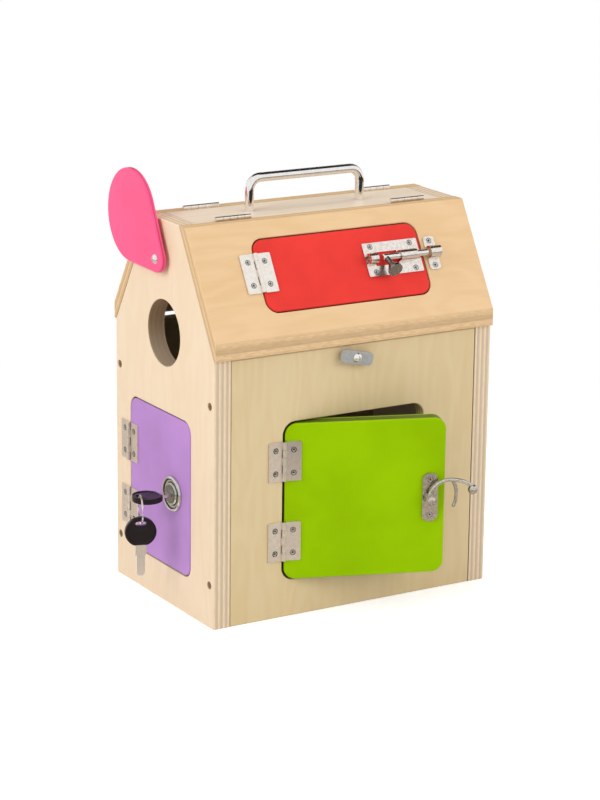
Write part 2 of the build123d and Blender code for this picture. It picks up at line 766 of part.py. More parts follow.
def make_barrel_bolt():
    """Bolt plate with strap and barrel, the sliding rod and its turning knob, and the keeper."""
    inner = bolt_rod_radius + bolt_rod_fit
    centre_y = red_centre_y + bolt_plate_rise
    left = bolt_plate_left
    plate = extrude(
        Pos(bolt_plate_length / 2, 0) * RectangleRounded(bolt_plate_length, bolt_plate_width,
                                                         bolt_plate_corner_radius),
        amount=bolt_plate_thickness,
    )
    slot_middle = bolt_slot_left_inset + bolt_slot_length / 2
    slot_depth = 2 * bolt_plate_thickness + overrun
    plate -= Pos(slot_middle, 0, 0) * Box(bolt_slot_length, bolt_slot_width, slot_depth)
    barrel_left = bolt_slot_left_inset + bolt_slot_length
    plate += Pos(bolt_strap_inset, 0, 0) * arch(bolt_strap_width, inner, bolt_barrel_wall)
    plate += Pos(barrel_left, 0, 0) * arch(bolt_barrel_length, inner, bolt_barrel_wall)
    for x in (bolt_screw_inset_x, bolt_plate_length - bolt_screw_inset_x):
        for side in (-1, 1):
            y = side * (bolt_plate_width / 2 - bolt_screw_inset_y)
            spot = Pos(x, y, bolt_plate_thickness)
            plate -= spot * small_screw_hole()
            keep("red_door_screws", on(lid_face, spot * small_screw(), left, centre_y, 0))
            hole = on(lid_face, spot * small_screw_hole(), left, centre_y, 0)
            holes.setdefault("red_door", []).append(hole)
    keep("bolt_housing", on(lid_face, plate, left, centre_y, 0))
    keeper_left = red_opening_width / 2 + keeper_from_opening
    tip = keeper_left - bolt_tip_short_of_keeper
    height = rod_height()
    rod = Rot(0, 90, 0) * round_bar(bolt_rod_radius, 0, bolt_rod_length)
    rod = chamfer(rod.edges(), bolt_tip_chamfer)
    keep("bolt_rod", on(lid_face, rod, tip - bolt_rod_length, centre_y, height))
    knob_x = tip - bolt_rod_length + bolt_knob_from_tail
    profile = make_face(Polyline(
        (0, 0), (bolt_knob_neck_radius, 0), (bolt_knob_neck_radius, bolt_knob_neck_end),
        (bolt_knob_head_radius, bolt_knob_end - bolt_knob_rim), (bolt_knob_head_radius, bolt_knob_end),
        (0, bolt_knob_end), close=True,
    ))
    knob = revolve(Plane.XZ * profile, Axis.Z)
    seat = Rot(0, 90, 0) * round_bar(bolt_rod_radius + bolt_knob_fit, -bolt_knob_end, bolt_knob_end)
    knob = Rot(90 - bolt_knob_angle, 0, 0) * (knob - seat)
    keep("bolt_knob", on(lid_face, knob, knob_x, centre_y, height))
    make_keeper(keeper_left, centre_y)


def make_keeper(keeper_left, centre_y):
    """The keeper on the lid: a strap with rounded corners and an arch, open below, for the rod."""
    inner = bolt_rod_radius + keeper_clearance
    strap = extrude(
        RectangleRounded(keeper_width, keeper_length, keeper_corner_radius), amount=bolt_plate_thickness,
    )
    keeper = Pos(keeper_width / 2, 0, 0) * strap
    keeper -= block(-overrun, keeper_width + overrun, -inner, inner, -overrun, bolt_plate_thickness + overrun)
    keeper += arch(keeper_width, inner, keeper_wall)
    for side in (-1, 1):
        spot = Pos(keeper_width / 2, side * (keeper_length / 2 - keeper_screw_inset), bolt_plate_thickness)
        keeper -= spot * small_screw_hole()
        keep("front_lid_screws", on(lid_face, spot * small_screw(), keeper_left, centre_y, 0))
        hole = on(lid_face, spot * small_screw_hole(), keeper_left, centre_y, 0)
        holes.setdefault("front_lid", []).append(hole)
    keep("bolt_keeper", on(lid_face, keeper, keeper_left, centre_y, 0))


# Swing hook latch
def latch_plate():
    """The backing plate, round at the top and cut at the lower corners, with its raised boss."""
    outline = Rectangle(latch_plate_width, latch_plate_length)
    top = outline.vertices().group_by(Axis.Y)[-1]
    outline = fillet(top, latch_plate_round)
    bottom = outline.vertices().group_by(Axis.Y)[0]
    outline = chamfer(bottom, latch_plate_chamfer)
    plate = extrude(outline, amount=latch_plate_thickness)
    boss_y = latch_pivot_height - latch_plate_height
    plate += Pos(0, boss_y, 0) * round_bar(latch_boss_radius, 0, latch_boss_top)
    plate -= Pos(0, boss_y, 0) * round_bar(latch_rivet_radius, -overrun, latch_boss_top + overrun)
    for spot in latch_screw_spots():
        plate -= spot * small_screw_hole()
    return plate


def latch_screw_spots():
    """Places of the two plate screws, from the plate's centre."""
    half = latch_screw_spacing / 2
    return [Pos(0, side * half, latch_plate_thickness) for side in (-1, 1)]


def swept_bar(path, radius):
    """A round bar along a path."""
    section = Plane(origin=path @ 0, z_dir=path % 0) * Circle(radius)
    return sweep(section, path=path)


def latch_arm():
    """A hub, a bar that curves over to a lever with a ball, and the hooked finger below its crest."""
    crest = (latch_crest_reach, latch_crest_rise)
    bar = ThreePointArc(
        (latch_root_reach, latch_root_rise), (latch_shoulder_reach, latch_shoulder_rise), crest,
    )
    lever = TangentArc(crest, (latch_lever_reach, latch_lever_rise), tangent=bar % 1)
    finger = ThreePointArc(
        crest, (latch_finger_reach, latch_finger_rise), (latch_tip_reach, latch_tip_rise),
    )
    hub_half = latch_hub_thickness / 2
    arm = round_bar(latch_hub_radius, -hub_half, hub_half)
    arm += swept_bar(Wire([bar, lever]), latch_arm_radius)
    arm += swept_bar(finger, latch_finger_radius)
    arm += Pos(latch_tip_reach, latch_tip_rise, 0) * Sphere(latch_finger_radius)
    arm += Pos(latch_lever_reach, latch_lever_rise - latch_ball_drop, 0) * Sphere(latch_ball_radius)
    return arm - round_bar(latch_rivet_radius + turning_fit, -latch_hub_radius, latch_hub_radius)


def make_latch():
    """The swing hook latch on the green door and the headed stud on the front panel."""
    plane = Plane(origin=(green_pin_x, -house_depth / 2, 0), x_dir=(1, 0, 0), z_dir=(0, -1, 0))
    x = latch_plate_from_pin
    keep("latch_plate", on(plane, latch_plate(), x, latch_plate_height, 0))
    for spot in latch_screw_spots():
        keep("green_door_screws", on(plane, spot * small_screw(), x, latch_plate_height, 0))
        hole = on(plane, spot * small_screw_hole(), x, latch_plate_height, 0)
        holes.setdefault("green_door", []).append(hole)
    keep("latch_arm", on(plane, latch_arm(), x, latch_pivot_height, latch_arm_height))
    seat = latch_arm_height + latch_hub_thickness / 2 + turning_gap
    rivet = dome_screw(latch_rivet_head_radius, latch_rivet_head_height, latch_rivet_radius, seat)
    keep("latch_rivet", on(plane, rivet, x, latch_pivot_height, seat))
    stud_x = x + stud_from_pivot * cos(radians(stud_angle))
    stud_y = latch_pivot_height + stud_from_pivot * sin(radians(stud_angle))
    head_low = latch_arm_height + latch_arm_radius + stud_clearance
    stud = round_bar(stud_radius, -stud_depth, head_low)
    head = round_bar(stud_head_radius, head_low, head_low + stud_head_height)
    stud += fillet(head.edges().sort_by(Axis.Z)[-1], stud_head_height / 2)
    keep("catch_stud", on(plane, stud, stud_x, stud_y, 0))
    hole = round_bar(stud_radius + screw_fit, -stud_depth - screw_fit, overrun)
    holes.setdefault("front_panel", []).append(on(plane, hole, stud_x, stud_y, 0))


# Cam lock
def lock_plane():
    """Plane of the lock's axis on the purple door's face."""
    return Plane(
        origin=(-house_width / 2, purple_pin_y - lock_from_pin, lock_height),
        x_dir=(0, -1, 0),
        z_dir=(-1, 0, 0),
    )


def lock_cam():
    """The cranked cam: level at the plug, then stepped outwards to lie just behind the gable."""
    half = cam_width / 2
    nut_corner = lock_nut_flats / 2 / cos(radians(30))
    step_start = nut_corner + cam_nut_clearance
    rise = lock_barrel_past_door + cam_gap - cam_door_clearance
    cam = round_bar(half, 0, cam_thickness)
    cam += block(-half, half, 0, step_start + cam_thickness, 0, cam_thickness)
    cam += block(-half, half, step_start, step_start + cam_thickness, 0, rise + cam_thickness)
    arm = block(-half, half, step_start, cam_reach, rise, rise + cam_thickness)
    cam += fillet(arm.edges().filter_by(Axis.Z).group_by(Axis.Y)[-1], cam_end_radius)
    return cam - round_bar(cam_screw_radius + screw_fit, -overrun, cam_thickness + overrun)


def make_lock():
    """Housing, nut, plug and cam; the cam points up, which is unlocked."""
    plane = lock_plane()
    back = -gable_thickness - lock_barrel_past_door
    flange = round_bar(lock_flange_radius, 0, lock_flange_thickness)
    flange = fillet(flange.edges().sort_by(Axis.Z)[-1], lock_flange_round)
    housing = flange + round_bar(lock_barrel_radius, back, 0)
    housing -= round_bar(lock_plug_radius + lock_plug_fit, back - overrun, lock_flange_thickness + overrun)
    keep("lock_housing", on(plane, housing))
    hole = round_bar(lock_barrel_radius + lock_barrel_fit, -gable_thickness - overrun, overrun)
    holes.setdefault("purple_door", []).append(on(plane, hole))
    nut = extrude(RegularPolygon(lock_nut_flats / 2, 6, major_radius=False), amount=lock_nut_thickness)
    nut -= round_bar(lock_barrel_radius + lock_barrel_fit, -overrun, lock_nut_thickness + overrun)
    keep("lock_nut", on(plane, nut, 0, 0, -gable_thickness - lock_nut_thickness))
    plug_back = back - cam_gap
    plug = round_bar(lock_plug_radius, plug_back, lock_flange_thickness + lock_plug_proud)
    keyway_width = key_blade_width + 2 * keyway_fit
    keyway_height = key_blade_thickness + 2 * keyway_fit
    key_tip = key_blade_bottom() - keyway_fit
    plug -= block(-keyway_width / 2, keyway_width / 2, -keyway_height / 2, keyway_height / 2,
                  key_tip, lock_flange_thickness + overrun)
    plug -= round_bar(cam_screw_radius + screw_fit, plug_back - overrun, plug_back + cam_screw_depth)
    keep("lock_plug", on(plane, plug))
    keep("lock_cam", on(plane, lock_cam(), 0, 0, plug_back - cam_thickness))
    screw = Rot(180, 0, 0) * dome_screw(
        cam_screw_head_radius, cam_screw_head_height, cam_screw_radius,
        cam_thickness + cam_screw_depth - screw_fit,
    )
    keep("cam_screw", on(plane, screw, 0, 0, plug_back - cam_thickness))


# Keys
def key_head_edge():
    """Distance of the head's inner edge from the door's face."""
    return key_head_from_face - key_head_half_length


def key_blade_bottom():
    """How deep the tip of the inserted key lies, from the door's face."""
    return key_head_edge() - key_blade_length


def key_blade():
    """A flat blade with a wide shoulder under the head and a blunt pointed tip."""
    half = key_blade_width / 2
    wide = key_shoulder_width / 2
    low = key_blade_bottom()
    high = key_head_edge() + key_blade_in_head
    shoulder = key_head_edge() - key_shoulder_length
    right = [(half / 2, low), (half, low + key_blade_tip), (half, shoulder), (wide, shoulder), (wide, high)]
    left = [(-across, along) for across, along in reversed(right)]
    outline = make_face(Polyline(*right, *left, close=True))
    blade = extrude(outline, amount=key_blade_thickness / 2, both=True)
    return Rot(90, 0, 0) * blade


def key_head():
    """An oval black head with a ring slot, a notch at the blade and a pocket for the blade."""
    oval = Pos(0, key_head_from_face) * Ellipse(key_head_half_width, key_head_half_length)
    head = extrude(oval, amount=key_head_thickness / 2, both=True)
    head = fillet(head.edges().filter_by(GeomType.ELLIPSE), key_head_round)
    slot = Pos(0, key_head_from_face + key_slot_from_centre) * SlotOverall(key_slot_length, key_slot_width)
    head -= extrude(slot, amount=key_head_thickness, both=True)
    edge = key_head_edge()
    head -= block(-key_notch_width / 2, key_notch_width / 2, edge - overrun, edge + key_notch_depth,
                  -key_head_thickness, key_head_thickness)
    pocket_half = key_shoulder_width / 2 + key_blade_fit
    pocket_deep = key_blade_thickness / 2 + key_blade_fit
    head -= block(-pocket_half, pocket_half, edge - overrun, edge + key_blade_in_head + key_blade_fit,
                  -pocket_deep, pocket_deep)
    return Rot(90, 0, 0) * head


def make_keys():
    """One key in the lock, a split ring through its slot and a second key hanging from the ring."""
    plane = lock_plane()
    keep("key_1_blade", on(plane, key_blade()))
    keep("key_1_head", on(plane, key_head()))
    turn = radians(ring_turn_angle)
    lean = Vector(-cos(turn), -sin(turn), 0)
    across = Vector(sin(turn), -cos(turn), 0)
    reach = sqrt(ring_radius ** 2 - ring_drop ** 2)
    in_slot = plane.origin + Vector(-key_head_from_face - key_slot_from_centre, ring_back_in_slot, 0)
    centre = in_slot + lean * reach - Vector(0, 0, ring_drop)
    ring_plane = Plane(origin=centre, x_dir=lean, z_dir=across)
    keep("key_ring", on(ring_plane, Torus(ring_radius, ring_wire_radius)))
    slot_above_wire = ring_wire_radius + key_hang_gap - key_slot_width / 2
    hang_drop = ring_radius - slot_above_wire + key_head_from_face + key_slot_from_centre
    hang_plane = Plane(origin=centre - Vector(0, 0, hang_drop), x_dir=across, z_dir=(0, 0, 1))
    keep("key_2_blade", on(hang_plane, key_blade()))
    keep("key_2_head", on(hang_plane, key_head()))


def open_green_door():
    """Leave the green door, and all that rides on it, ajar."""
    for name in ("green_door", "green_door_hinge_moving_leaves", "green_door_screws",
                 "latch_plate", "latch_rivet", "latch_arm"):
        made[name] = [solid.rotate(green_hinge_axis, -green_door_ajar_angle) for solid in made[name]]


place_hinges()
place_gable_screws()
make_cover()
make_turn_buttons()
make_handle()
make_barrel_bolt()
make_latch()
make_lock()
make_keys()
make_gables()
make_panels()
make_lids()
make_doors()
open_green_door()

os.makedirs("parts", exist_ok=True)
for name, solids in made.items():
    pieces = [piece for solid in solids for piece in solid.solids()]
    whole = pieces[0] if len(pieces) == 1 else Compound(pieces)
    export_step(whole, "parts/" + name + ".step")
    print(name, len(pieces), "solid(s)")
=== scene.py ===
# %% [markdown]
# A wooden lock and latch house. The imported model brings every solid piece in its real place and
# size, in metres: +X runs to the right along the front, +Y to the back and +Z up. This script
# dresses those pieces with wood, paint and metal, makes a few small ones anew with the detail
# that a plain solid leaves out, and sets up the light and the camera. The frame comes first,
# because everything else is placed by it.

# %% Load the frame and keep its box
import json
import math
import bpy
import numpy as np
from mathutils import Matrix, Vector


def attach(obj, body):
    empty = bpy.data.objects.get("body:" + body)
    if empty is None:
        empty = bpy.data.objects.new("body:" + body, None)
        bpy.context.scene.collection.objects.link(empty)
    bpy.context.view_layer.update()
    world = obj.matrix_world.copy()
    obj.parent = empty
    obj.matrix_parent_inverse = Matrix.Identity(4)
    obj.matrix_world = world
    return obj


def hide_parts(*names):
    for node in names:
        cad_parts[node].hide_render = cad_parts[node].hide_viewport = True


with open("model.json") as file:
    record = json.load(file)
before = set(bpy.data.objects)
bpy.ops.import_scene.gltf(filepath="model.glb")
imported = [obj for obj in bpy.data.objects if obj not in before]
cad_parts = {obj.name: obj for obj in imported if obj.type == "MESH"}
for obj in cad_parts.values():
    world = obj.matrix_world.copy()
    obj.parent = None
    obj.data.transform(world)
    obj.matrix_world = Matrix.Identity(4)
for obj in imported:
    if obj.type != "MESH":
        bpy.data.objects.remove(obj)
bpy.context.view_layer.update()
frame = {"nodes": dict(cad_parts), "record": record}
nodes = frame["nodes"]
packed_bodies = frame["record"]["behaviour"]["bodies"]
body_of = {name: body for body, names in packed_bodies.items() for name in names}
MM = 0.001

# %% [markdown]
# A finish is a small network of shader nodes. Written node by node, such a network hides its
# own idea, so two helpers come first. Signal wraps one number that varies over a surface and
# gives it Python's arithmetic. Finish holds one material and adds any other kind of node.


# %% Numbers that vary over a surface
class Signal:
    """One output socket of a shader tree, with arithmetic: a + b makes an Add node, and so on."""

    def __init__(self, tree, socket):
        self.tree = tree
        self.socket = socket

    def work(self, operation, *values):
        """Add one Math node that takes these values in order."""
        node = self.tree.nodes.new("ShaderNodeMath")
        node.operation = operation
        for place, value in zip(node.inputs, values):
            plug(self.tree, place, value)
        return Signal(self.tree, node.outputs[0])

    def __add__(self, other):
        return self.work("ADD", self, other)

    def __radd__(self, other):
        return self.work("ADD", other, self)

    def __sub__(self, other):
        return self.work("SUBTRACT", self, other)

    def __rsub__(self, other):
        return self.work("SUBTRACT", other, self)

    def __mul__(self, other):
        return self.work("MULTIPLY", self, other)

    def __truediv__(self, other):
        return self.work("DIVIDE", self, other)

    def power(self, exponent):
        return self.work("POWER", self, exponent)

    def fraction(self):
        return self.work("FRACT", self)

    def distance_to(self, value):
        return self.work("ABSOLUTE", self - value)

    def rise(self, low, high):
        """Zero below low, one above high, and a smooth step between."""
        node = self.tree.nodes.new("ShaderNodeMapRange")
        node.interpolation_type = "SMOOTHSTEP"
        for name, value in (("Value", self), ("From Min", low), ("From Max", high)):
            plug(self.tree, node.inputs[name], value)
        return Signal(self.tree, node.outputs["Result"])

    def between(self, low, high, soft):
        """One from low to high, zero outside, with soft edges."""
        return self.rise(low - soft, low + soft) * (1 - self.rise(high - soft, high + soft))


def plug(tree, place, value):
    """Give a socket a link or a plain value."""
    if isinstance(value, Signal):
        value = value.socket
    if isinstance(value, bpy.types.NodeSocket):
        tree.links.new(value, place)
    else:
        place.default_value = value


# %% One material and its nodes
class Finish:
    """A material with one Principled shader; its colours and bumps are added step by step."""

    def __init__(self, name, **constants):
        self.material = bpy.data.materials.new(name)
        self.material.use_nodes = True
        self.tree = self.material.node_tree
        self.shader = self.tree.nodes["Principled BSDF"]
        self.set(**constants)
        self.place = self.add("ShaderNodeTexCoord").outputs["Object"]

    def set(self, **values):
        """Give the shader's sockets signals, colours or plain values."""
        for key, value in values.items():
            plug(self.tree, self.shader.inputs[key.replace("_", " ")], value)

    def add(self, kind, settings=None, **inputs):
        """Add a node: its settings first, then the values or links of its sockets.

        A socket goes by its name, or by its number after an underscore.
        """
        node = self.tree.nodes.new(kind)
        for key, value in (settings or {}).items():
            setattr(node, key, value)
        for key, value in inputs.items():
            socket = int(key[1:]) if key[1:].isdigit() else key.replace("_", " ")
            plug(self.tree, node.inputs[socket], value)
        return node

    def signal(self, socket):
        return Signal(self.tree, socket)

    def vector(self, operation, *values):
        """Add one Vector Math node that takes these values in order."""
        inputs = {"_%d" % order: value for order, value in enumerate(values)}
        return self.add("ShaderNodeVectorMath", {"operation": operation}, **inputs)

    def along(self, direction):
        """How far a point lies along a direction, in metres."""
        return self.signal(self.vector("DOT_PRODUCT", self.place, direction).outputs["Value"])

    def point(self, x, y, z):
        """Three signals joined into one place."""
        return self.add("ShaderNodeCombineXYZ", X=x, Y=y, Z=z).outputs[0]

    def noise(self, place, scale, detail=2.0, roughness=0.5, distortion=0.0):
        """Smooth random clouds between zero and one."""
        node = self.add("ShaderNodeTexNoise", None, Vector=place, Scale=scale, Detail=detail,
                        Roughness=roughness, Distortion=distortion)
        return self.signal(node.outputs["Fac"])

    def brushed(self, scales, detail, roughness):
        """Noise drawn out along Z: the scales say how fine it is along X, Y and Z."""
        stretched = self.add("ShaderNodeMapping", None, Vector=self.place, Scale=scales)
        return self.noise(stretched.outputs[0], 1.0, detail, roughness)

    def carried(self, name):
        """A number that the mesh itself carries at its corners."""
        return self.signal(self.add("ShaderNodeAttribute", {"attribute_name": name}).outputs["Fac"])

    def blend(self, amount, first, second):
        """Mix two colours by a signal."""
        node = self.add("ShaderNodeMix", {"data_type": "RGBA"}, _0=amount)
        for place, colour in ((node.inputs[6], first), (node.inputs[7], second)):
            plug(self.tree, place, (*colour, 1.0) if isinstance(colour, tuple) else colour)
        return node.outputs[2]

    def bump(self, height, strength, distance):
        """Tilt the surface by a height signal."""
        node = self.add("ShaderNodeBump", None, Height=height, Strength=strength, Distance=distance)
        self.set(Normal=node.outputs[0])


# %% [markdown]
# Most finishes mix a colour with a darker or a warmer share of the same colour, so a helper
# works out that share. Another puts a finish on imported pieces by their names.


# %% Colours and dressing
def times(colour, shares):
    """A colour times one share, or times a share each for red, green and blue."""
    shares = shares if isinstance(shares, tuple) else (shares,) * 3
    return tuple(value * share for value, share in zip(colour, shares))


def dress(finish, *names):
    """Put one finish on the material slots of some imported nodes."""
    for name in names:
        for slot in nodes[name].material_slots:
            slot.material = finish.material
    print("dressed", ", ".join(names))


# %% [markdown]
# Every board is dressed by its own shape, so nothing slides when a size changes. The broad face
# of a board is the largest flat side that looks towards a given direction. Its normal and its
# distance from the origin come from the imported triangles, weighted by their areas.


# %% Read the broad face of a board
def corner_points(name):
    """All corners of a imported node's triangles, as rows of x, y and z."""
    mesh = nodes[name].data
    points = np.empty(len(mesh.vertices) * 3)
    mesh.vertices.foreach_get("co", points)
    return points.reshape(-1, 3)


def polygon_values(name, key, width):
    """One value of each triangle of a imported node, as rows of the given width."""
    polygons = nodes[name].data.polygons
    values = np.empty(len(polygons) * width)
    polygons.foreach_get(key, values)
    return values.reshape(-1, width)


def broad_face(name, towards, least_facing=0.3):
    """Normal, distance from the origin and thickness of the board behind the face.

    The triangles are grouped by their rounded normals; the group with the largest area that
    looks towards the given direction is the face, and its mean normal is weighted by area.
    """
    normals, centres = polygon_values(name, "normal", 3), polygon_values(name, "center", 3)
    areas = polygon_values(name, "area", 1).ravel()
    _, member = np.unique(np.round(normals, 2) + 0.0, axis=0, return_inverse=True)
    facing = areas * (normals @ np.array(towards, float) > least_facing)
    best = member.ravel() == np.bincount(member.ravel(), facing).argmax()
    normal = (normals[best] * areas[best, None]).sum(axis=0)
    normal /= np.linalg.norm(normal)
    distance = np.average(centres[best] @ normal, weights=areas[best])
    return Vector(normal), float(distance), float(np.ptp(corner_points(name) @ normal))


checked_boards = {"left_gable": (-1, 0, 0), "front_lid": (0, -1, 1), "green_door": (0, -1, 0)}
for name, towards in checked_boards.items():
    normal, distance, thickness = broad_face(name, towards)
    normal = [round(value, 3) for value in normal]
    print(name, normal, round(distance / MM, 2), round(thickness / MM, 2))

# %% [markdown]
# The case is birch plywood under a thin satin varnish. Its broad faces show pale, calm wood:
# flame lines where the knife peeled the log, like the contour lines of a map, with fine long
# streaks and soft clouds over them. A picture of real wood would not fit round the edges, so
# each of these is a noise drawn out along the grain, and the face is their weighted sum.


# %% Grain of a broad face
def face_grain(finish, along, across, seed):
    """Tone, long streaks and hair lines: tone is the weighted sum of flame, streaks, hair and clouds.

    Flame lines are the fraction of a low, stretched noise times a count.
    """
    flame_share, streak_share, hair_share, cloud_share = 0.16, 0.30, 0.12, 0.42
    flame_count, flame_width = 7, 0.5
    relief = finish.noise(finish.point(along * 1.4, across * 6, seed), scale=5.0, distortion=0.25)
    flame = (relief * flame_count).fraction().distance_to(flame_width).rise(0.05, flame_width)
    streaks = finish.noise(finish.point(along * 1.1, across * 14, seed + 2),
                           scale=22.0, detail=4.0, roughness=0.6)
    hair = finish.noise(finish.point(along * 5, across * 110, seed + 3), scale=24.0, roughness=0.6)
    clouds = finish.noise(finish.point(along * 2, across * 5, seed + 7),
                          scale=3.6, detail=3.0, distortion=0.4)
    tone = flame * flame_share + streaks * streak_share + hair * hair_share + clouds * cloud_share
    return tone, streaks, hair


def flecked(finish, face, along, across, dark, seed):
    """The face with short dark flecks, one hair wide, where a narrow noise peaks."""
    fleck_strength, fleck_shade = 0.10, 0.6
    peaks = finish.noise(finish.point(along * 26, across * 240, seed + 11), scale=9.0, detail=1.0)
    return finish.blend(peaks.rise(0.72, 0.84) * fleck_strength, face, times(dark, fleck_shade))


def knotted(finish, face, dark, place):
    """The face with a small round eye at a place, and a soft smear from it to the left."""
    eye_near, eye_far, eye_strength = 0.5 * MM, 1.3 * MM, 0.75
    smear_near, smear_far, smear_strength = 0.6 * MM, 3.4 * MM, 0.8
    smear_squeeze, smear_shift = (0.30, 1.0, 1.0), (2.6 * MM, 0, 0)
    eye_colour, smear_shades = (0.14, 0.075, 0.03), (0.93, 0.82, 0.66)
    offset = finish.vector("SUBTRACT", finish.place, place).outputs[0]
    length = finish.signal(finish.vector("LENGTH", offset).outputs["Value"])
    left = finish.vector("MULTIPLY_ADD", offset, smear_squeeze, smear_shift).outputs[0]
    far = finish.signal(finish.vector("LENGTH", left).outputs["Value"])
    smear = (1 - far.rise(smear_near, smear_far)) * smear_strength
    face = finish.blend(smear, face, times(dark, smear_shades))
    return finish.blend((1 - length.rise(eye_near, eye_far)) * eye_strength, face, eye_colour)


# %% [markdown]
# The edges of a board show its plies: thin layers whose grain runs across in every second one,
# so it is darker there, with a thin glue line between two layers. The depth below the outer face,
# worked out from the point's own place, says which layer a point is in. So every edge, hole and
# opening shows its plies by itself. The round hole's wall is browner, as a scorched cut is, and
# darker with painted shade inside the hole, most of all in its upper part, which faces down.


# %% Plies of a cut edge
def plies(finish, along, across, depth, pale, dark, ply, contrast):
    """Colour of the cut edge, and the signal of its cross-grained plies.

    layer = depth / ply; the odd layers are cross-grained; glue lines lie where a layer ends.
    """
    light_shade, cross_shade, glue_shade = 0.94, 0.66, 0.40
    glue_strength, glue_wobble = 0.34, 0.35
    layer = depth / ply
    odd = (layer / 2).fraction().rise(0.42, 0.58)
    wobble = finish.noise(finish.place, scale=40.0) * glue_wobble
    glue = (layer + wobble).fraction().distance_to(0.5).rise(0.36, 0.5)
    long_tone = finish.noise(finish.point(along * 30, across * 30, depth * 0.3), scale=6.0)
    edge = finish.blend(long_tone.rise(0.25, 0.75), times(dark, light_shade), pale)
    edge = finish.blend(odd * contrast, edge, times(dark, cross_shade))
    return finish.blend(glue * (glue_strength * contrast), edge, times(dark, glue_shade)), odd


def scorched_and_shaded(finish, edge, dark, middle, radius):
    """The cut edge browner on the wall of a round hole along X, whose middle is given as y and z,
    and darker there: scorching, and painted shade inside the hole that is deepest at its top.
    """
    # Painted shade: the wall is darker inside the hole, most of all in its upper part, which faces
    # down; its browning is the scorch of the cut.
    low_shade, high_shades, strength, soft = 0.62, (0.38, 0.28, 0.20), 0.85, 1.5 * MM
    beside, above = finish.along((0, 1, 0)) - middle[0], finish.along((0, 0, 1)) - middle[1]
    outside = (beside * beside + above * above).power(0.5).rise(radius, radius + soft)
    low, high = times(dark, low_shade), times(dark, high_shades)
    wall = finish.blend(above.rise(-radius, radius * 0.4), low, high)
    return finish.blend((1 - outside) * strength, edge, wall)


# %% Birch plywood
def birch(name, board, towards, grain, pale, dark, seed, ply=1.5, contrast=1.0, burnt_and_shaded=None,
          knot=None):
    """Plywood seen from towards, its face grain running along grain.

    depth = distance of the face - place . normal, in millimetres. Between the two faces the
    colour is that of the cut edge, and the inner face is darker than the outer one: painted shade
    inside the house.
    """
    skin, skin_soft, inner_shade = 0.5, 0.15, 0.62
    face_roughness, cut_roughness, hair_roughness = 0.42, 0.2, 0.12
    finish = Finish(name, Coat_Weight=0.08, Coat_Roughness=0.3, Specular_IOR_Level=0.25)
    normal, distance, thickness = broad_face(board, towards)
    run = Vector(grain).normalized()
    along, across = finish.along(tuple(run)), finish.along(tuple(normal.cross(run)))
    depth = (distance - finish.along(tuple(normal))) / MM
    tone, streaks, hair = face_grain(finish, along, across, seed)
    face = finish.blend(tone.rise(0.16, 0.78), dark, pale)
    face = flecked(finish, face, along, across, dark, seed)
    if knot:
        face = knotted(finish, face, dark, knot)
    edge, odd = plies(finish, along, across, depth, pale, dark, ply, contrast)
    # The round hole's wall: scorched, and darkened with painted shade inside the hole.
    if burnt_and_shaded:
        edge = scorched_and_shaded(finish, edge, dark, *burnt_and_shaded)
    # Painted shade: the inner face, inside the house, falls to a share of the dark wood.
    inner = depth.rise(thickness / MM - 0.6, thickness / MM - 0.2)
    face = finish.blend(inner, face, times(dark, inner_shade))
    cut = depth.between(skin, thickness / MM - skin, skin_soft)
    finish.set(Base_Color=finish.blend(cut, face, edge))
    finish.set(Roughness=face_roughness + cut * cut_roughness + hair * hair_roughness)
    finish.bump(streaks * 0.5 + hair * 0.5 + cut * odd * 0.4, strength=0.05, distance=0.3 * MM)
    return finish


# %% [markdown]
# The walls are pale cream on the gables and a little yellower on the front. The roof lids are
# warmer and calmer, with their grain along the ridge and one small knot, and the top board is
# paler and pinker. The gables are thicker boards, so their plies are thicker too.

# %% Dress the case
upright, level = (0, 0, 1), (1, 0, 0)
hole_middle = (0.0, 208.0 * MM)
hole_radius = 25.0 * MM
lid_knot = (27.9 * MM, -80.4 * MM, 213.4 * MM)
gable_woods = ((0.870, 0.695, 0.505), (0.830, 0.640, 0.440))
front_woods = ((0.735, 0.578, 0.342), (0.680, 0.512, 0.272))
lid_woods = ((0.805, 0.565, 0.325), (0.740, 0.485, 0.250))
top_woods = ((0.885, 0.745, 0.590), (0.805, 0.660, 0.505))
gable_plies = dict(ply=2.0, contrast=0.7)
lid_plies = dict(ply=2.2, contrast=0.5)
# The left gable's round hole has a scorched wall with painted shade inside it.
dress(birch("birch_left", "left_gable", (-1, 0, 0), upright, *gable_woods, seed=1.0, **gable_plies,
            burnt_and_shaded=(hole_middle, hole_radius)), "left_gable")
dress(birch("birch_right", "right_gable", (1, 0, 0), upright, *gable_woods, seed=2.3, **gable_plies),
      "right_gable")
dress(birch("birch_front", "front_panel", (0, -1, 0), upright, *front_woods, seed=3.7), "front_panel")
dress(birch("birch_back", "back_panel", (0, 1, 0), upright, *front_woods, seed=4.1), "back_panel")
dress(birch("birch_base", "base_panel", (0, 0, -1), level, *front_woods, seed=5.9), "base_panel")
dress(birch("birch_top", "top_board", (0, 0, 1), level, *top_woods, seed=6.2, contrast=0.6),
      "top_board")
dress(birch("birch_front_lid", "front_lid", (0, -1, 1), level, *lid_woods, seed=7.4, **lid_plies,
            knot=lid_knot), "front_lid")
dress(birch("birch_back_lid", "back_lid", (0, 1, 1), level, *lid_woods, seed=8.8, **lid_plies),
      "back_lid")
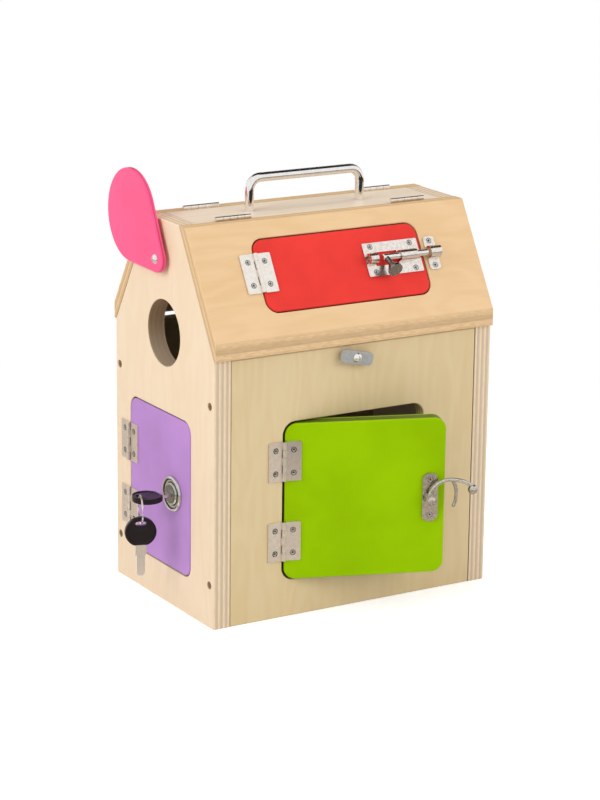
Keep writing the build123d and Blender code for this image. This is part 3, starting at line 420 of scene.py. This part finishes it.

# %% [markdown]
# The doors and the swing cover are plywood under gloss paint. Sprayed paint is never quite
# flat: it follows the grain a little and scatters light softly, so the colour drifts by a few
# percent in broad clouds, and a faint bump carries the grain below. On the cut sides of a door
# the colour falls to a small share of itself, painted shade that makes the gaps round the doors
# look nearly black. Its shine takes the colour of the paint, because a strong paint keeps its
# hue under a white light.


# %% Gloss paint on wood
def gloss_paint(name, board, towards, colour, seed, sides=0.22):
    """Paint: colour * (1 + a few percent of clouds), with a faint long-grained bump.

    Between the rounded edges of the two faces, by depth, the colour falls to a share of itself:
    painted shade on the cut sides, which lie in the gaps.
    """
    deep_share, light_share = 0.90, 1.05
    least_roughness, cloud_roughness = 0.30, 0.12
    rounding, rounding_soft = 1.5, 0.65
    finish = Finish(name, Coat_Weight=0.03, Coat_Roughness=0.15, Specular_IOR_Level=0.25,
                    Specular_Tint=(*times(colour, 1 / max(colour)), 1.0))
    normal, distance, thickness = broad_face(board, towards)
    depth = (distance - finish.along(tuple(normal))) / MM
    # Painted shade: the cut sides of the board, in the gaps, fall to a share of the colour.
    side = depth.between(rounding, thickness / MM - rounding, rounding_soft)
    clouds = finish.noise(finish.place, scale=14.0 + seed, detail=3.0, roughness=0.55)
    grain = finish.brushed((260.0, 260.0, 14.0), detail=3.0, roughness=0.6)
    light = tuple(min(1.0, value) for value in times(colour, light_share))
    face = finish.blend(clouds.rise(0.3, 0.7), times(colour, deep_share), light)
    finish.set(Base_Color=finish.blend(side, face, times(colour, sides)))
    finish.set(Roughness=least_roughness + clouds * cloud_roughness)
    finish.bump(grain * 0.6 + clouds * 0.4, strength=0.05, distance=0.3 * MM)
    return finish


paints = {"green_door": ("paint_green", (0, -1, 0), (0.30, 0.53, 0.001)),
          "purple_door": ("paint_purple", (-1, 0, 0), (0.485, 0.252, 0.600)),
          "red_door": ("paint_red", (0, -1, 1), (0.80, 0.050, 0.040))}
for seed, (board, (name, towards, colour)) in enumerate(paints.items(), start=1):
    dress(gloss_paint(name, board, towards, colour, seed), board)
pink = (1.0, 0.115, 0.275)
# Painted shade: the cover's cut sides fall to half its colour, in the shadow of the gap behind it.
dress(gloss_paint("paint_pink", "hole_cover", (-1, 0, 0), pink, seed=4, sides=0.5), "hole_cover")

# %% [markdown]
# The fittings are bare metal. The carry handle and the bolt's rod are bright chrome. The butt
# hinges are zinc-plated steel, whose spangle makes each patch a little lighter or darker. The
# barrel bolt's pressed plates are like them but smoother, the hook latch is a darker steel, and
# the lock and the keys are nickel. All are the same shader at full metallic, so only tint,
# roughness and the scale of their scratches differ.


# %% Metals
def metal(name, tint, roughness, mottle, scratch, scale=420.0, shaded=False):
    """Metal: tint darkened by spangle clouds, roughness raised by fine scratches.

    A shaded metal also darkens where the mesh carries a shade: painted shade in grooves and recesses.
    """
    groove_shade, least_bump, bump_per_scratch = 0.10, 0.03, 0.3
    finish = Finish(name, Metallic=1.0)
    spangle = finish.noise(finish.place, scale, detail=3.0, roughness=0.7)
    wipes = finish.brushed((900.0, 900.0, 90.0), detail=2.0, roughness=0.5)
    colour = finish.blend(spangle.rise(0.3, 0.7), times(tint, 1 - mottle), tint)
    if shaded:
        # Painted shade in hollows, where the mesh carries it.
        colour = finish.blend(finish.carried("shade"), colour, times(tint, groove_shade))
    finish.set(Base_Color=colour)
    finish.set(Roughness=roughness + wipes * scratch)
    finish.bump(wipes * 0.5 + spangle * 0.5, least_bump + scratch * bump_per_scratch, 0.06 * MM)
    return finish


chrome = metal("chrome_plate", (0.88, 0.86, 0.84), roughness=0.06, mottle=0.12, scratch=0.05)
zinc = metal("zinc_plate", (0.93, 0.87, 0.80), roughness=0.24, mottle=0.12, scratch=0.12)
nickel = metal("nickel_plate", (0.84, 0.79, 0.74), roughness=0.20, mottle=0.06, scratch=0.08)
screw_zinc = metal("screw_zinc", (0.74, 0.71, 0.67), roughness=0.20, mottle=0.14, scratch=0.10,
                   shaded=True)
lock_nickel = metal("lock_nickel", (0.66, 0.66, 0.61), roughness=0.16, mottle=0.16, scratch=0.08,
                    shaded=True)
bolt_steel = metal("bolt_steel", (0.90, 0.83, 0.77), roughness=0.16, mottle=0.20, scratch=0.10)
latch_steel = metal("latch_steel", (0.66, 0.61, 0.55), roughness=0.12, mottle=0.30, scratch=0.08)
dark_steel = metal("dark_steel", (0.34, 0.32, 0.30), roughness=0.22, mottle=0.50, scratch=0.10,
                   scale=900.0)

# %% [markdown]
# Each fitting gets its metal by name. The hinge leaves and pins have the word hinge in theirs,
# and the small screws go by the endings of their names, so no list of them has to be kept.

# %% Dress the fittings
screw_endings = ("door_screws", "lid_screws", "hinge_screws")
screw_names = sorted(name for name in nodes if name.endswith(screw_endings))
zinc_names = sorted(name for name in nodes if "_hinge_" in name and name not in screw_names)
dress(chrome, "carry_handle", "handle_bolts", "cover_screw", "cover_washer", "button_screws",
      "button_spacers", "bolt_rod")
dress(zinc, *zinc_names)
dress(screw_zinc, *screw_names)
dress(nickel, "lock_housing", "lock_nut", "lock_cam", "cam_screw", "key_1_blade", "key_2_blade")
dress(bolt_steel, "bolt_housing", "bolt_keeper")
dress(latch_steel, "latch_plate", "latch_arm", "latch_rivet", "catch_stud")
dress(dark_steel, "bolt_knob", "lock_plug")

# %% [markdown]
# What is left is small: black moulded key heads, grey enamelled turn buttons and brown wood
# screws. Moulded plastic has a fine even texture; enamel has an orange-peel ripple. Both are
# one even noise, in the colour and in the bump.


# %% Key heads, turn buttons and dark screws
def moulded(name, colour, roughness, scale, depth):
    """A solid colour with an even fine texture: noise of one scale in the colour and the bump."""
    deep_share, smoother, rougher = 0.80, 0.05, 0.14
    finish = Finish(name, Specular_IOR_Level=0.3)
    texture = finish.noise(finish.place, scale, detail=3.0, roughness=0.6)
    finish.set(Base_Color=finish.blend(texture.rise(0.25, 0.75), times(colour, deep_share), colour))
    finish.set(Roughness=roughness - smoother + texture * rougher)
    finish.bump(texture, strength=0.12, distance=depth)
    return finish


key_black = moulded("key_head_black", (0.010, 0.005, 0.008), roughness=0.30, scale=1800.0,
                    depth=0.05 * MM)
enamel = moulded("button_enamel", (0.40, 0.40, 0.385), roughness=0.40, scale=500.0, depth=0.06 * MM)
screw_brown = moulded("screw_brown", (0.26, 0.16, 0.09), roughness=0.50, scale=900.0, depth=0.05 * MM)
dress(key_black, "key_1_head", "key_2_head")
dress(enamel, "front_turn_button", "back_turn_button")
dress(screw_brown, "gable_screws")

# %% [markdown]
# A few small pieces are made anew, as surfaces worked out on whole grids of numbers. Each takes
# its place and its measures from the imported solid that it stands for, so these helpers read a
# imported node: its separate solids, the axis that a turned one was turned about, and the
# directions square to that axis.


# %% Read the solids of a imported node
def solids_of(name):
    """The corners of each separate solid: labels spread through shared corners until they settle."""
    mesh = nodes[name].data
    loops = np.empty(len(mesh.loops), dtype=np.int64)
    mesh.loops.foreach_get("vertex_index", loops)
    corners, same = np.unique(np.round(corner_points(name), 6) + 0.0, axis=0, return_inverse=True)
    triangles = same.ravel()[loops].reshape(-1, 3)
    label = np.arange(len(corners))
    while True:
        spread = label.copy()
        np.minimum.at(spread, triangles.ravel(), np.repeat(label[triangles].min(axis=1), 3))
        if np.array_equal(spread, label):
            return [corners[label == value] for value in np.unique(label)]
        label = spread


def along_and_aside(points, middle, axis):
    """How far each point lies along an axis, and how far from it."""
    along = (points - middle) @ axis
    return along, np.linalg.norm(points - middle - along[:, None] * axis, axis=1)


def axis_of(points):
    """Middle and axis of a turned solid: the direction whose spread differs from the other two.

    The axis points to the wider end.
    """
    middle = points.mean(axis=0)
    spread, turns = np.linalg.eigh(np.cov((points - middle).T))
    axis = turns[:, 2] if spread[2] - spread[1] > spread[1] - spread[0] else turns[:, 0]
    along, aside = along_and_aside(points, middle, axis)
    return middle, -axis if np.cov(along, aside)[0, 1] < 0 else axis


def sides_of(axis, least_sine=0.1):
    """Three directions square to each other, of which the last is the axis."""
    level = np.cross(axis, (0.0, 0.0, 1.0))
    if np.linalg.norm(level) < least_sine:
        level = np.cross(axis, (0.0, 1.0, 0.0))
    level /= np.linalg.norm(level)
    return level, np.cross(axis, level), axis


def profile_of(points, least_radius=0.05 * MM):
    """Heights and radii of a turned solid from its head down, with its middle and its axis."""
    middle, axis = axis_of(points)
    along, aside = along_and_aside(points, middle, axis)
    pairs = np.unique(np.round(np.stack([-along, -aside], axis=1), 5), axis=0) * -1
    heights, radii = pairs[pairs[:, 1] > least_radius].T
    return heights, radii, middle, axis


# %% [markdown]
# A surface is a grid of places: its rows run along the piece and its columns close round it. One
# helper joins the grid with four-cornered faces, another makes the mesh object, faces it
# outwards and keeps its sharp edges, and a third hangs the new piece on the body of the imported
# node it stands for and hides that node.


# %% Put a surface into the scene
def placed(middle, sides, x, y, height):
    """A grid of places: x, y and height measured from a middle along three directions."""
    return middle + sum(value[..., None] * side for value, side in zip((x, y, height), sides))


def grid_faces(rows, columns, first=0, ring=False):
    """Quads of a grid closed round its columns, with an end cap at each end or closed both ways."""
    index = first + np.arange(rows * columns).reshape(rows, columns)
    ahead = np.roll(index, -1, axis=1)
    if ring:
        below, ahead_below = np.roll(index, -1, axis=0), np.roll(ahead, -1, axis=0)
        return np.stack([index, ahead, ahead_below, below], axis=-1).reshape(-1, 4).tolist()
    quads = np.stack([index[:-1], ahead[:-1], ahead[1:], index[1:]], axis=-1).reshape(-1, 4)
    return quads.tolist() + [index[0][::-1].tolist(), index[-1].tolist()]


def round_steps(count):
    """Angles that divide one full turn evenly."""
    return np.linspace(0, 2 * math.pi, count, endpoint=False)


def new_piece(name, points, faces, finish, shade=None, sharp=40):
    """A mesh object from points and faces, faced outwards, smooth but for its sharp edges."""
    mesh = bpy.data.meshes.new(name)
    mesh.from_pydata(points.reshape(-1, 3).tolist(), [], faces)
    if shade is not None:
        mesh.attributes.new("shade", "FLOAT", "POINT").data.foreach_set("value", shade.ravel())
    mesh.materials.append(finish.material)
    mesh.update()
    piece = bpy.data.objects.new(name, mesh)
    bpy.context.scene.collection.objects.link(piece)
    bpy.context.view_layer.objects.active = piece
    piece.select_set(True)
    bpy.ops.object.mode_set(mode="EDIT")
    bpy.ops.mesh.select_all(action="SELECT")
    bpy.ops.mesh.normals_make_consistent(inside=False)
    bpy.ops.object.mode_set(mode="OBJECT")
    bpy.ops.object.shade_auto_smooth(angle=math.radians(sharp))
    piece.select_set(False)
    print("made", name, len(mesh.polygons), "faces")
    return piece


def stands_for(piece, name):
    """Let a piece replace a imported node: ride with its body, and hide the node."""
    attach(piece, body_of[name])
    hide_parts(name)


# %% [markdown]
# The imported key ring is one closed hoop. A real split ring is two turns of flat wire pressed
# side by side, with a small step where one turn crosses to the other. It is drawn here as a
# flat wire section carried along that path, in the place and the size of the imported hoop.


# %% Split ring
def split_ring(name, steps=180, corners=16):
    """place(t, s) = centre + r(s) * (cos t, sin t) + a(t, s): two turns, a smooth step between.

    The section is a rounded flat: (cos s, sin s) raised to a power below one and scaled.
    """
    end_angle, crossing, squareness = 0.35, 0.7, 0.5
    turn_clearance, edge_clearance = 0.02 * MM, 0.03 * MM
    points = corner_points("key_ring")
    centre = (points.min(axis=0) + points.max(axis=0)) / 2
    _, axis = axis_of(points)
    half = np.abs((points - centre) @ axis).max()
    middle = np.linalg.norm(points - centre, axis=1).max() - half
    t = np.linspace(end_angle, 4 * math.pi - end_angle, steps)[:, None]
    s = round_steps(corners)[None, :]
    step = np.clip((t - (2 * math.pi - crossing)) / (2 * crossing), 0, 1)
    offset = half / 2 * (2 * step * step * (3 - 2 * step) - 1)
    flat = np.sign(np.cos(s)) * np.abs(np.cos(s)) ** squareness
    tall = np.sign(np.sin(s)) * np.abs(np.sin(s)) ** squareness
    radius = middle + (half - edge_clearance) * flat
    height = offset + (half / 2 - turn_clearance) * tall
    place = placed(centre, sides_of(axis), radius * np.cos(t), radius * np.sin(t), height)
    return new_piece(name, place, grid_faces(steps, corners), nickel)


stands_for(split_ring("split_ring"), "key_ring")

# %% [markdown]
# A packed screw is a plain turned solid. A real one has a cross cut into its head for the
# driver, and at the size of a hinge screw that dark cross is most of what the eye sees. So each
# screw is turned again from its own packed profile, and the cross is pressed into the head. The
# mesh carries a painted shade that is one in the cross and high at the head's edge, where the
# countersink round the head lies in shadow.


# %% Screws with driven heads
def cross_recess(x, y, head):
    """One in a cross and zero outside: (1 - (least / arm)^4) * (1 - (most / reach)^6).

    least and most are the smaller and the larger of |x| and |y|.
    """
    arm, reach = 0.17 * head, 0.62 * head
    least, most = np.minimum(abs(x), abs(y)), np.maximum(abs(x), abs(y))
    return np.clip(1 - (least / arm) ** 4, 0, 1) * np.clip(1 - (most / reach) ** 6, 0, 1)


def driven_screw(points, first, rings=16, spokes=48):
    """place(r, a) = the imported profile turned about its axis, less the cross in its top."""
    start_share, top_share, sink_share = 0.03, 0.8, 0.30
    rim_share, rim_soft_share, rim_shade = 0.84, 0.1, 0.75
    heights, radii, middle, axis = profile_of(points)
    head = radii.max()
    inner = np.linspace(start_share, 1.0, rings)[:, None] * radii[0]
    radius = np.concatenate([inner, radii[1:, None]])
    height = np.concatenate([np.full((rings, 1), heights[0]), heights[1:, None]])
    a = round_steps(spokes)[None, :]
    x, y = radius * np.cos(a), radius * np.sin(a)
    top = height > heights[0] - top_share * head
    cross = np.where(top, cross_recess(x, y, head), 0)
    rim = np.clip((radius / head - rim_share) / rim_soft_share, 0, 1) * top
    place = placed(middle, sides_of(axis), x, y, height - sink_share * head * cross)
    # Painted shade: one in the cross recess and high in a ring at the head's edge.
    shade = np.maximum(cross, rim * rim_shade)
    return place.reshape(-1, 3), grid_faces(len(radius), spokes, first), shade.ravel()


def driven_screws(name, finish):
    """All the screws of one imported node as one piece."""
    places, faces, shades, first = [], [], [], 0
    for points in solids_of(name):
        place, quads, shade = driven_screw(points, first)
        places.append(place)
        faces += quads
        shades.append(shade)
        first += len(place)
    return new_piece("driven_" + name, np.concatenate(places), faces, finish, np.concatenate(shades))


for name in screw_names:
    stands_for(driven_screws(name, screw_zinc), name)

# %% [markdown]
# The rose of the cam lock is pressed in rings: a rounded rim, a groove, a shallow dish and a
# raised collar round the plug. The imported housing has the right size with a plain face, so its
# measures are kept and only the face is turned again, as a closed profile round the bore.


# %% Lock rose
def lock_rose(name, spokes=96):
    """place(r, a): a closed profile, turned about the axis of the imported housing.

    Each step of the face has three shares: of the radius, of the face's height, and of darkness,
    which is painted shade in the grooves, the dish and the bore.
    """
    rim_share, wall_share = 0.98, 1.05
    # The third share is painted shade in the grooves, the hollow of the dish and the bore.
    face_shares = [
        (1.0, 0.0, 0), (1.0, 0.40, 0), (0.985, 0.66, 0), (0.95, 0.84, 0), (0.90, 0.90, 0),
        (0.86, 0.80, 0.3), (0.845, 0.42, 1.0), (0.81, 0.36, 1.0), (0.785, 0.52, 0.2),
        (0.70, 0.50, 0.1), (0.665, 0.42, 0.9), (0.64, 0.72, 0.4), (0.61, 0.96, 0), (0.57, 1.0, 0)]
    heights, radii, middle, axis = profile_of(np.concatenate(solids_of("lock_housing")))
    outer, bore, front, end = radii.max(), radii.min(), heights.max(), heights.min()
    back = heights[radii > rim_share * outer].min()
    barrel = radii[(heights < back) & (radii > wall_share * bore)].max()
    tall = front - back
    section = [(share * outer, back + high * tall, dark) for share, high, dark in face_shares]
    # Painted shade down the bore and behind the face.
    section += [(bore, front, 0.2), (bore, end, 0.6), (barrel, end, 0.3), (barrel, back, 0.3)]
    radius, height, shade = np.array(section).T[:, :, None]
    a = round_steps(spokes)[None, :]
    place = placed(middle, sides_of(axis), radius * np.cos(a), radius * np.sin(a), height)
    faces = grid_faces(len(section), spokes, ring=True)
    return new_piece(name, place, faces, lock_nickel, np.repeat(shade, spokes, axis=1), sharp=30)


stands_for(lock_rose("lock_rose"), "lock_housing")

# %% [markdown]
# A key's bow is moulded over the blade: an oval with a raised bead round its edge and another
# round the slot for the ring, and a sunk field between them. One surface makes all of it. It is
# a section carried round the oval, each point sliding from the outline towards the slot. The
# oval is drawn in a little where the blade leaves it.


# %% Key heads
def bow_place(name, blade):
    """Three directions, the middle and the half sizes of a packed key head.

    The directions are to the side, away from the blade, and square to the flat of the head.
    """
    points = corner_points(name)
    _, turns = np.linalg.eigh(np.cov((points - points.mean(axis=0)).T))
    normal = turns[:, 0]
    away = points.mean(axis=0) - corner_points(blade).mean(axis=0)
    up = away - (away @ normal) * normal
    up /= np.linalg.norm(up)
    sides = np.stack([np.cross(up, normal), up, normal])
    reach = points @ sides.T
    low, high = reach.min(axis=0), reach.max(axis=0)
    length_share, width_share = 11.3 / 12.6, 0.94
    half_long = (high[0] - low[0]) / 2 * length_share
    half_wide = (high[0] - low[0]) / 2 * width_share
    middle = (low + high) / 2
    middle[1] = high[1] - half_long
    return sides, middle @ sides, half_wide, half_long, (high[2] - low[2]) / 2


def bow_outlines(t, half_wide, half_long):
    """The oval of a key head and the slot in it, both as rows of x and y round the angle t."""
    waist_share, waist_width, inside_share = 0.10, 0.36, 0.998
    slot_half, slot_round, slot_up, slot_steepness = 2.3 * MM, 1.7 * MM, 6.5 * MM, 1.6
    waist = 1 - waist_share * np.exp(-((t - 1.5 * math.pi) / waist_width) ** 4)
    oval = np.concatenate([half_wide * np.cos(t), half_long * np.sin(t)], axis=1)
    oval = oval * waist * inside_share
    slot_x = np.clip(np.cos(t) * slot_steepness, -1, 1) * slot_half + np.cos(t) * slot_round
    return oval, np.concatenate([slot_x, np.sin(t) * slot_round + slot_up], axis=1)


def key_head(name, blade, steps=96):
    """place(t, s) = oval(t) * (1 - u(s)) + slot(t) * u(s) at the height h(s), closed both ways.

    The section is a row of two shares: how far towards the slot, and how high. The heights
    count from the middle in the first rows, and from the sunk field in the others.
    """
    section_shares = [
        (0.0, 0.55), (0.012, 0.85), (0.05, 0.98), (0.12, 1.0), (0.17, 0.93), (0.20, 0.0),
        (0.45, 0.0), (0.72, 0.0), (0.80, 0.35), (0.90, 0.55), (0.98, 0.40), (1.0, 0.1)]
    bead_share, sunk_share, first_share = 0.998, 0.72, 0.02
    sides, centre, half_wide, half_long, half_thick = bow_place(name, blade)
    t = round_steps(steps)[:, None]
    oval, slot = bow_outlines(t, half_wide, half_long)
    share, rise = np.array(section_shares).T
    bead, sunk = half_thick * bead_share, half_thick * sunk_share
    front = np.where(share < first_share, bead * rise, sunk + (bead - sunk) * rise)
    u = np.concatenate([share, share[::-1]])[None, :, None]
    height = np.concatenate([front, -front[::-1]])[None, :]
    flat = oval[:, None, :] * (1 - u) + slot[:, None, :] * u
    place = placed(centre, sides, flat[..., 0], flat[..., 1], height)
    faces = grid_faces(steps, 2 * len(section_shares), ring=True)
    return new_piece("moulded_" + name, place, faces, key_black, sharp=50)


for key in ("key_1", "key_2"):
    stands_for(key_head(key + "_head", key + "_blade"), key + "_head")

# %% [markdown]
# The photograph is a pack shot: a white ground under soft light. The floor takes the shadow. It
# is lit to near white and, for the camera, lifted a little more, so only the shadow under the
# house shows on it. Farther out it fades to pure white, so that no horizon can be seen.


# %% Floor
def bare_material(name):
    """A material without nodes but for its output."""
    material = bpy.data.materials.new(name)
    material.use_nodes = True
    tree = material.node_tree
    tree.nodes.clear()
    return material, tree, tree.nodes.new("ShaderNodeOutputMaterial")


def floor_finish(white=0.86, lift_level=0.42, fade_near=0.25, fade_far=0.7):
    """A white floor that keeps the shadow: diffuse white plus a lift that the camera sees."""
    material, tree, out = bare_material("studio_floor")
    diffuse = tree.nodes.new("ShaderNodeBsdfDiffuse")
    diffuse.inputs["Color"].default_value = (white, white, white, 1.0)
    lift = tree.nodes.new("ShaderNodeEmission")
    rays = tree.nodes.new("ShaderNodeLightPath")
    seen = Signal(tree, rays.outputs["Is Camera Ray"]) + Signal(tree, rays.outputs["Is Glossy Ray"])
    plug(tree, lift.inputs["Strength"], seen * lift_level)
    both = tree.nodes.new("ShaderNodeAddShader")
    tree.links.new(diffuse.outputs[0], both.inputs[0])
    tree.links.new(lift.outputs[0], both.inputs[1])
    glow = tree.nodes.new("ShaderNodeEmission")
    place = tree.nodes.new("ShaderNodeTexCoord")
    length = tree.nodes.new("ShaderNodeVectorMath")
    length.operation = "LENGTH"
    tree.links.new(place.outputs["Object"], length.inputs[0])
    fade = tree.nodes.new("ShaderNodeMixShader")
    plug(tree, fade.inputs[0], Signal(tree, length.outputs["Value"]).rise(fade_near, fade_far) * seen)
    tree.links.new(both.outputs[0], fade.inputs[1])
    tree.links.new(glow.outputs[0], fade.inputs[2])
    tree.links.new(fade.outputs[0], out.inputs["Surface"])
    return material


def flat_sheet(name, width, height, material, turn=Matrix.Identity(3), centre=(0, 0, 0)):
    """One four-cornered sheet round a centre, flat before its turn."""
    corners = [(x * width / 2, y * height / 2, 0) for x, y in ((-1, -1), (1, -1), (1, 1), (-1, 1))]
    places = [tuple(Vector(centre) + turn @ Vector(corner)) for corner in corners]
    mesh = bpy.data.meshes.new(name)
    mesh.from_pydata(places, [], [(0, 1, 2, 3)])
    mesh.materials.append(material)
    sheet = bpy.data.objects.new(name, mesh)
    bpy.context.scene.collection.objects.link(sheet)
    return sheet


floor_width = 12.0
flat_sheet("floor", floor_width, floor_width, floor_finish())

# %% [markdown]
# Chrome shows what is round it. In an all-white room it would look like white plastic, while in
# the photograph it has crisp dark bands and warm greys. So sheets stand in the room for its
# reflections only: dark ones above, behind and far out on the floor, and warm pale ones near the
# house. They throw no shadow, and the camera doesn't see them.


# %% Cards for the reflections
def card(name, centre, facing, width, height, shade):
    """A sheet that only glossy rays meet, looking from its centre towards facing."""
    material, tree, out = bare_material(name)
    glow = tree.nodes.new("ShaderNodeEmission")
    glow.inputs["Color"].default_value = (*shade, 1.0)
    tree.links.new(glow.outputs[0], out.inputs["Surface"])
    turn = (Vector(facing) - Vector(centre)).to_track_quat("Z", "Y").to_matrix()
    sheet = flat_sheet(name, width, height, material, turn, centre)
    sheet.visible_camera = False
    sheet.visible_diffuse = False
    sheet.visible_shadow = False
    sheet.visible_transmission = False


def floor_card(name, x, y, width, depth, shade, lift=4 * MM):
    """A card that lies just over the floor and looks up."""
    card(name, (x, y, lift), (x, y, 1.0), width, depth, shade)


house_middle = (0, 0, 0.15)
dark_shade = (0.03, 0.027, 0.024)
warm_shade = (0.64, 0.56, 0.47)
card("card_above", (0.55, 0.55, 1.65), house_middle, 2.2, 1.5, dark_shade)
card("card_behind", (1.0, 1.6, 0.85), house_middle, 2.6, 1.1, dark_shade)
floor_card("card_near_floor", 0.45, -0.50, 0.80, 0.84, warm_shade)
floor_card("card_front_left", -0.50, -0.95, 1.06, 0.90, dark_shade)
floor_card("card_foot", -0.45, -0.29, 0.98, 0.42, warm_shade)
floor_card("card_far_floor", 0.75, -1.75, 3.2, 1.6, dark_shade)
floor_card("card_right_floor", 1.55, -0.20, 1.35, 1.45, dark_shade)
floor_card("card_left_floor", -0.95, 0.70, 1.6, 1.5, warm_shade)

# %% [markdown]
# The lamps are large areas, so that shadows are soft: a key light from the left, two weaker ones
# from the front and the right, and one from above. Their levels are set so that a colour renders
# about as it is written on the left gable, which is the brightest side. The surroundings are
# plain white to the camera and to reflections, and a softer level of the same white lights the
# house from all round.


# %% Lamps and surroundings
def softbox(name, place, size, watts):
    """A square area lamp that looks at the middle of the house and shows in no reflection."""
    lamp = bpy.data.lights.new(name, "AREA")
    lamp.energy = watts
    lamp.size = size
    holder = bpy.data.objects.new(name, lamp)
    turn = (Vector(place) - Vector(house_middle)).to_track_quat("Z", "Y").to_matrix().to_4x4()
    holder.matrix_world = Matrix.Translation(place) @ turn
    holder.visible_glossy = False
    bpy.context.scene.collection.objects.link(holder)


softbox("key_left", (-1.9, -0.35, 1.1), size=1.2, watts=21.0)
softbox("fill_front", (0.9, -2.0, 1.2), size=1.4, watts=13.0)
softbox("fill_right", (1.9, -1.3, 0.9), size=1.0, watts=8.5)
softbox("top", (0.1, 0.3, 2.2), size=1.4, watts=12.0)

world = bpy.data.worlds.new("studio")
bpy.context.scene.world = world
world.use_nodes = True
tree = world.node_tree
sky = tree.nodes["Background"]
rays = tree.nodes.new("ShaderNodeLightPath")
seen = Signal(tree, rays.outputs["Is Camera Ray"]) + Signal(tree, rays.outputs["Is Glossy Ray"])
seen = seen + Signal(tree, rays.outputs["Is Transmission Ray"])
ambient_level = 0.50
sky.inputs["Color"].default_value = (1.0, 1.0, 1.0, 1.0)
plug(tree, sky.inputs["Strength"], ambient_level + seen * (1 - ambient_level))
bpy.context.scene.view_settings.view_transform = "Standard"

# %% [markdown]
# The camera was worked out from the photograph: the house's own edges give its direction, its
# distance and its lens. The lens is long and the camera is far off, so the perspective is mild.
# The image is 600 by 800 pixels, and the sensor lies along the longer side.

# %% Camera
camera_place = Vector((-1.04170, -1.71653, 0.69197))
camera_forward = Vector((0.49962, 0.82483, -0.26463)).normalized()
camera_roll = math.radians(0.716)
focal_pixels = 2725.2
image_height = 800
sensor_size = 36.0
level_right = camera_forward.cross(Vector((0, 0, 1))).normalized()
level_up = level_right.cross(camera_forward)
right = math.cos(camera_roll) * level_right + math.sin(camera_roll) * level_up
up = math.cos(camera_roll) * level_up - math.sin(camera_roll) * level_right
turn = Matrix((right, up, -camera_forward)).transposed().to_4x4()
lens = bpy.data.cameras.new("camera")
lens.sensor_width = sensor_size
lens.lens = focal_pixels * sensor_size / image_height
lens.clip_end = 20.0
camera = bpy.data.objects.new("camera", lens)
camera.matrix_world = Matrix.Translation(camera_place) @ turn
bpy.context.scene.collection.objects.link(camera)
bpy.context.scene.camera = camera
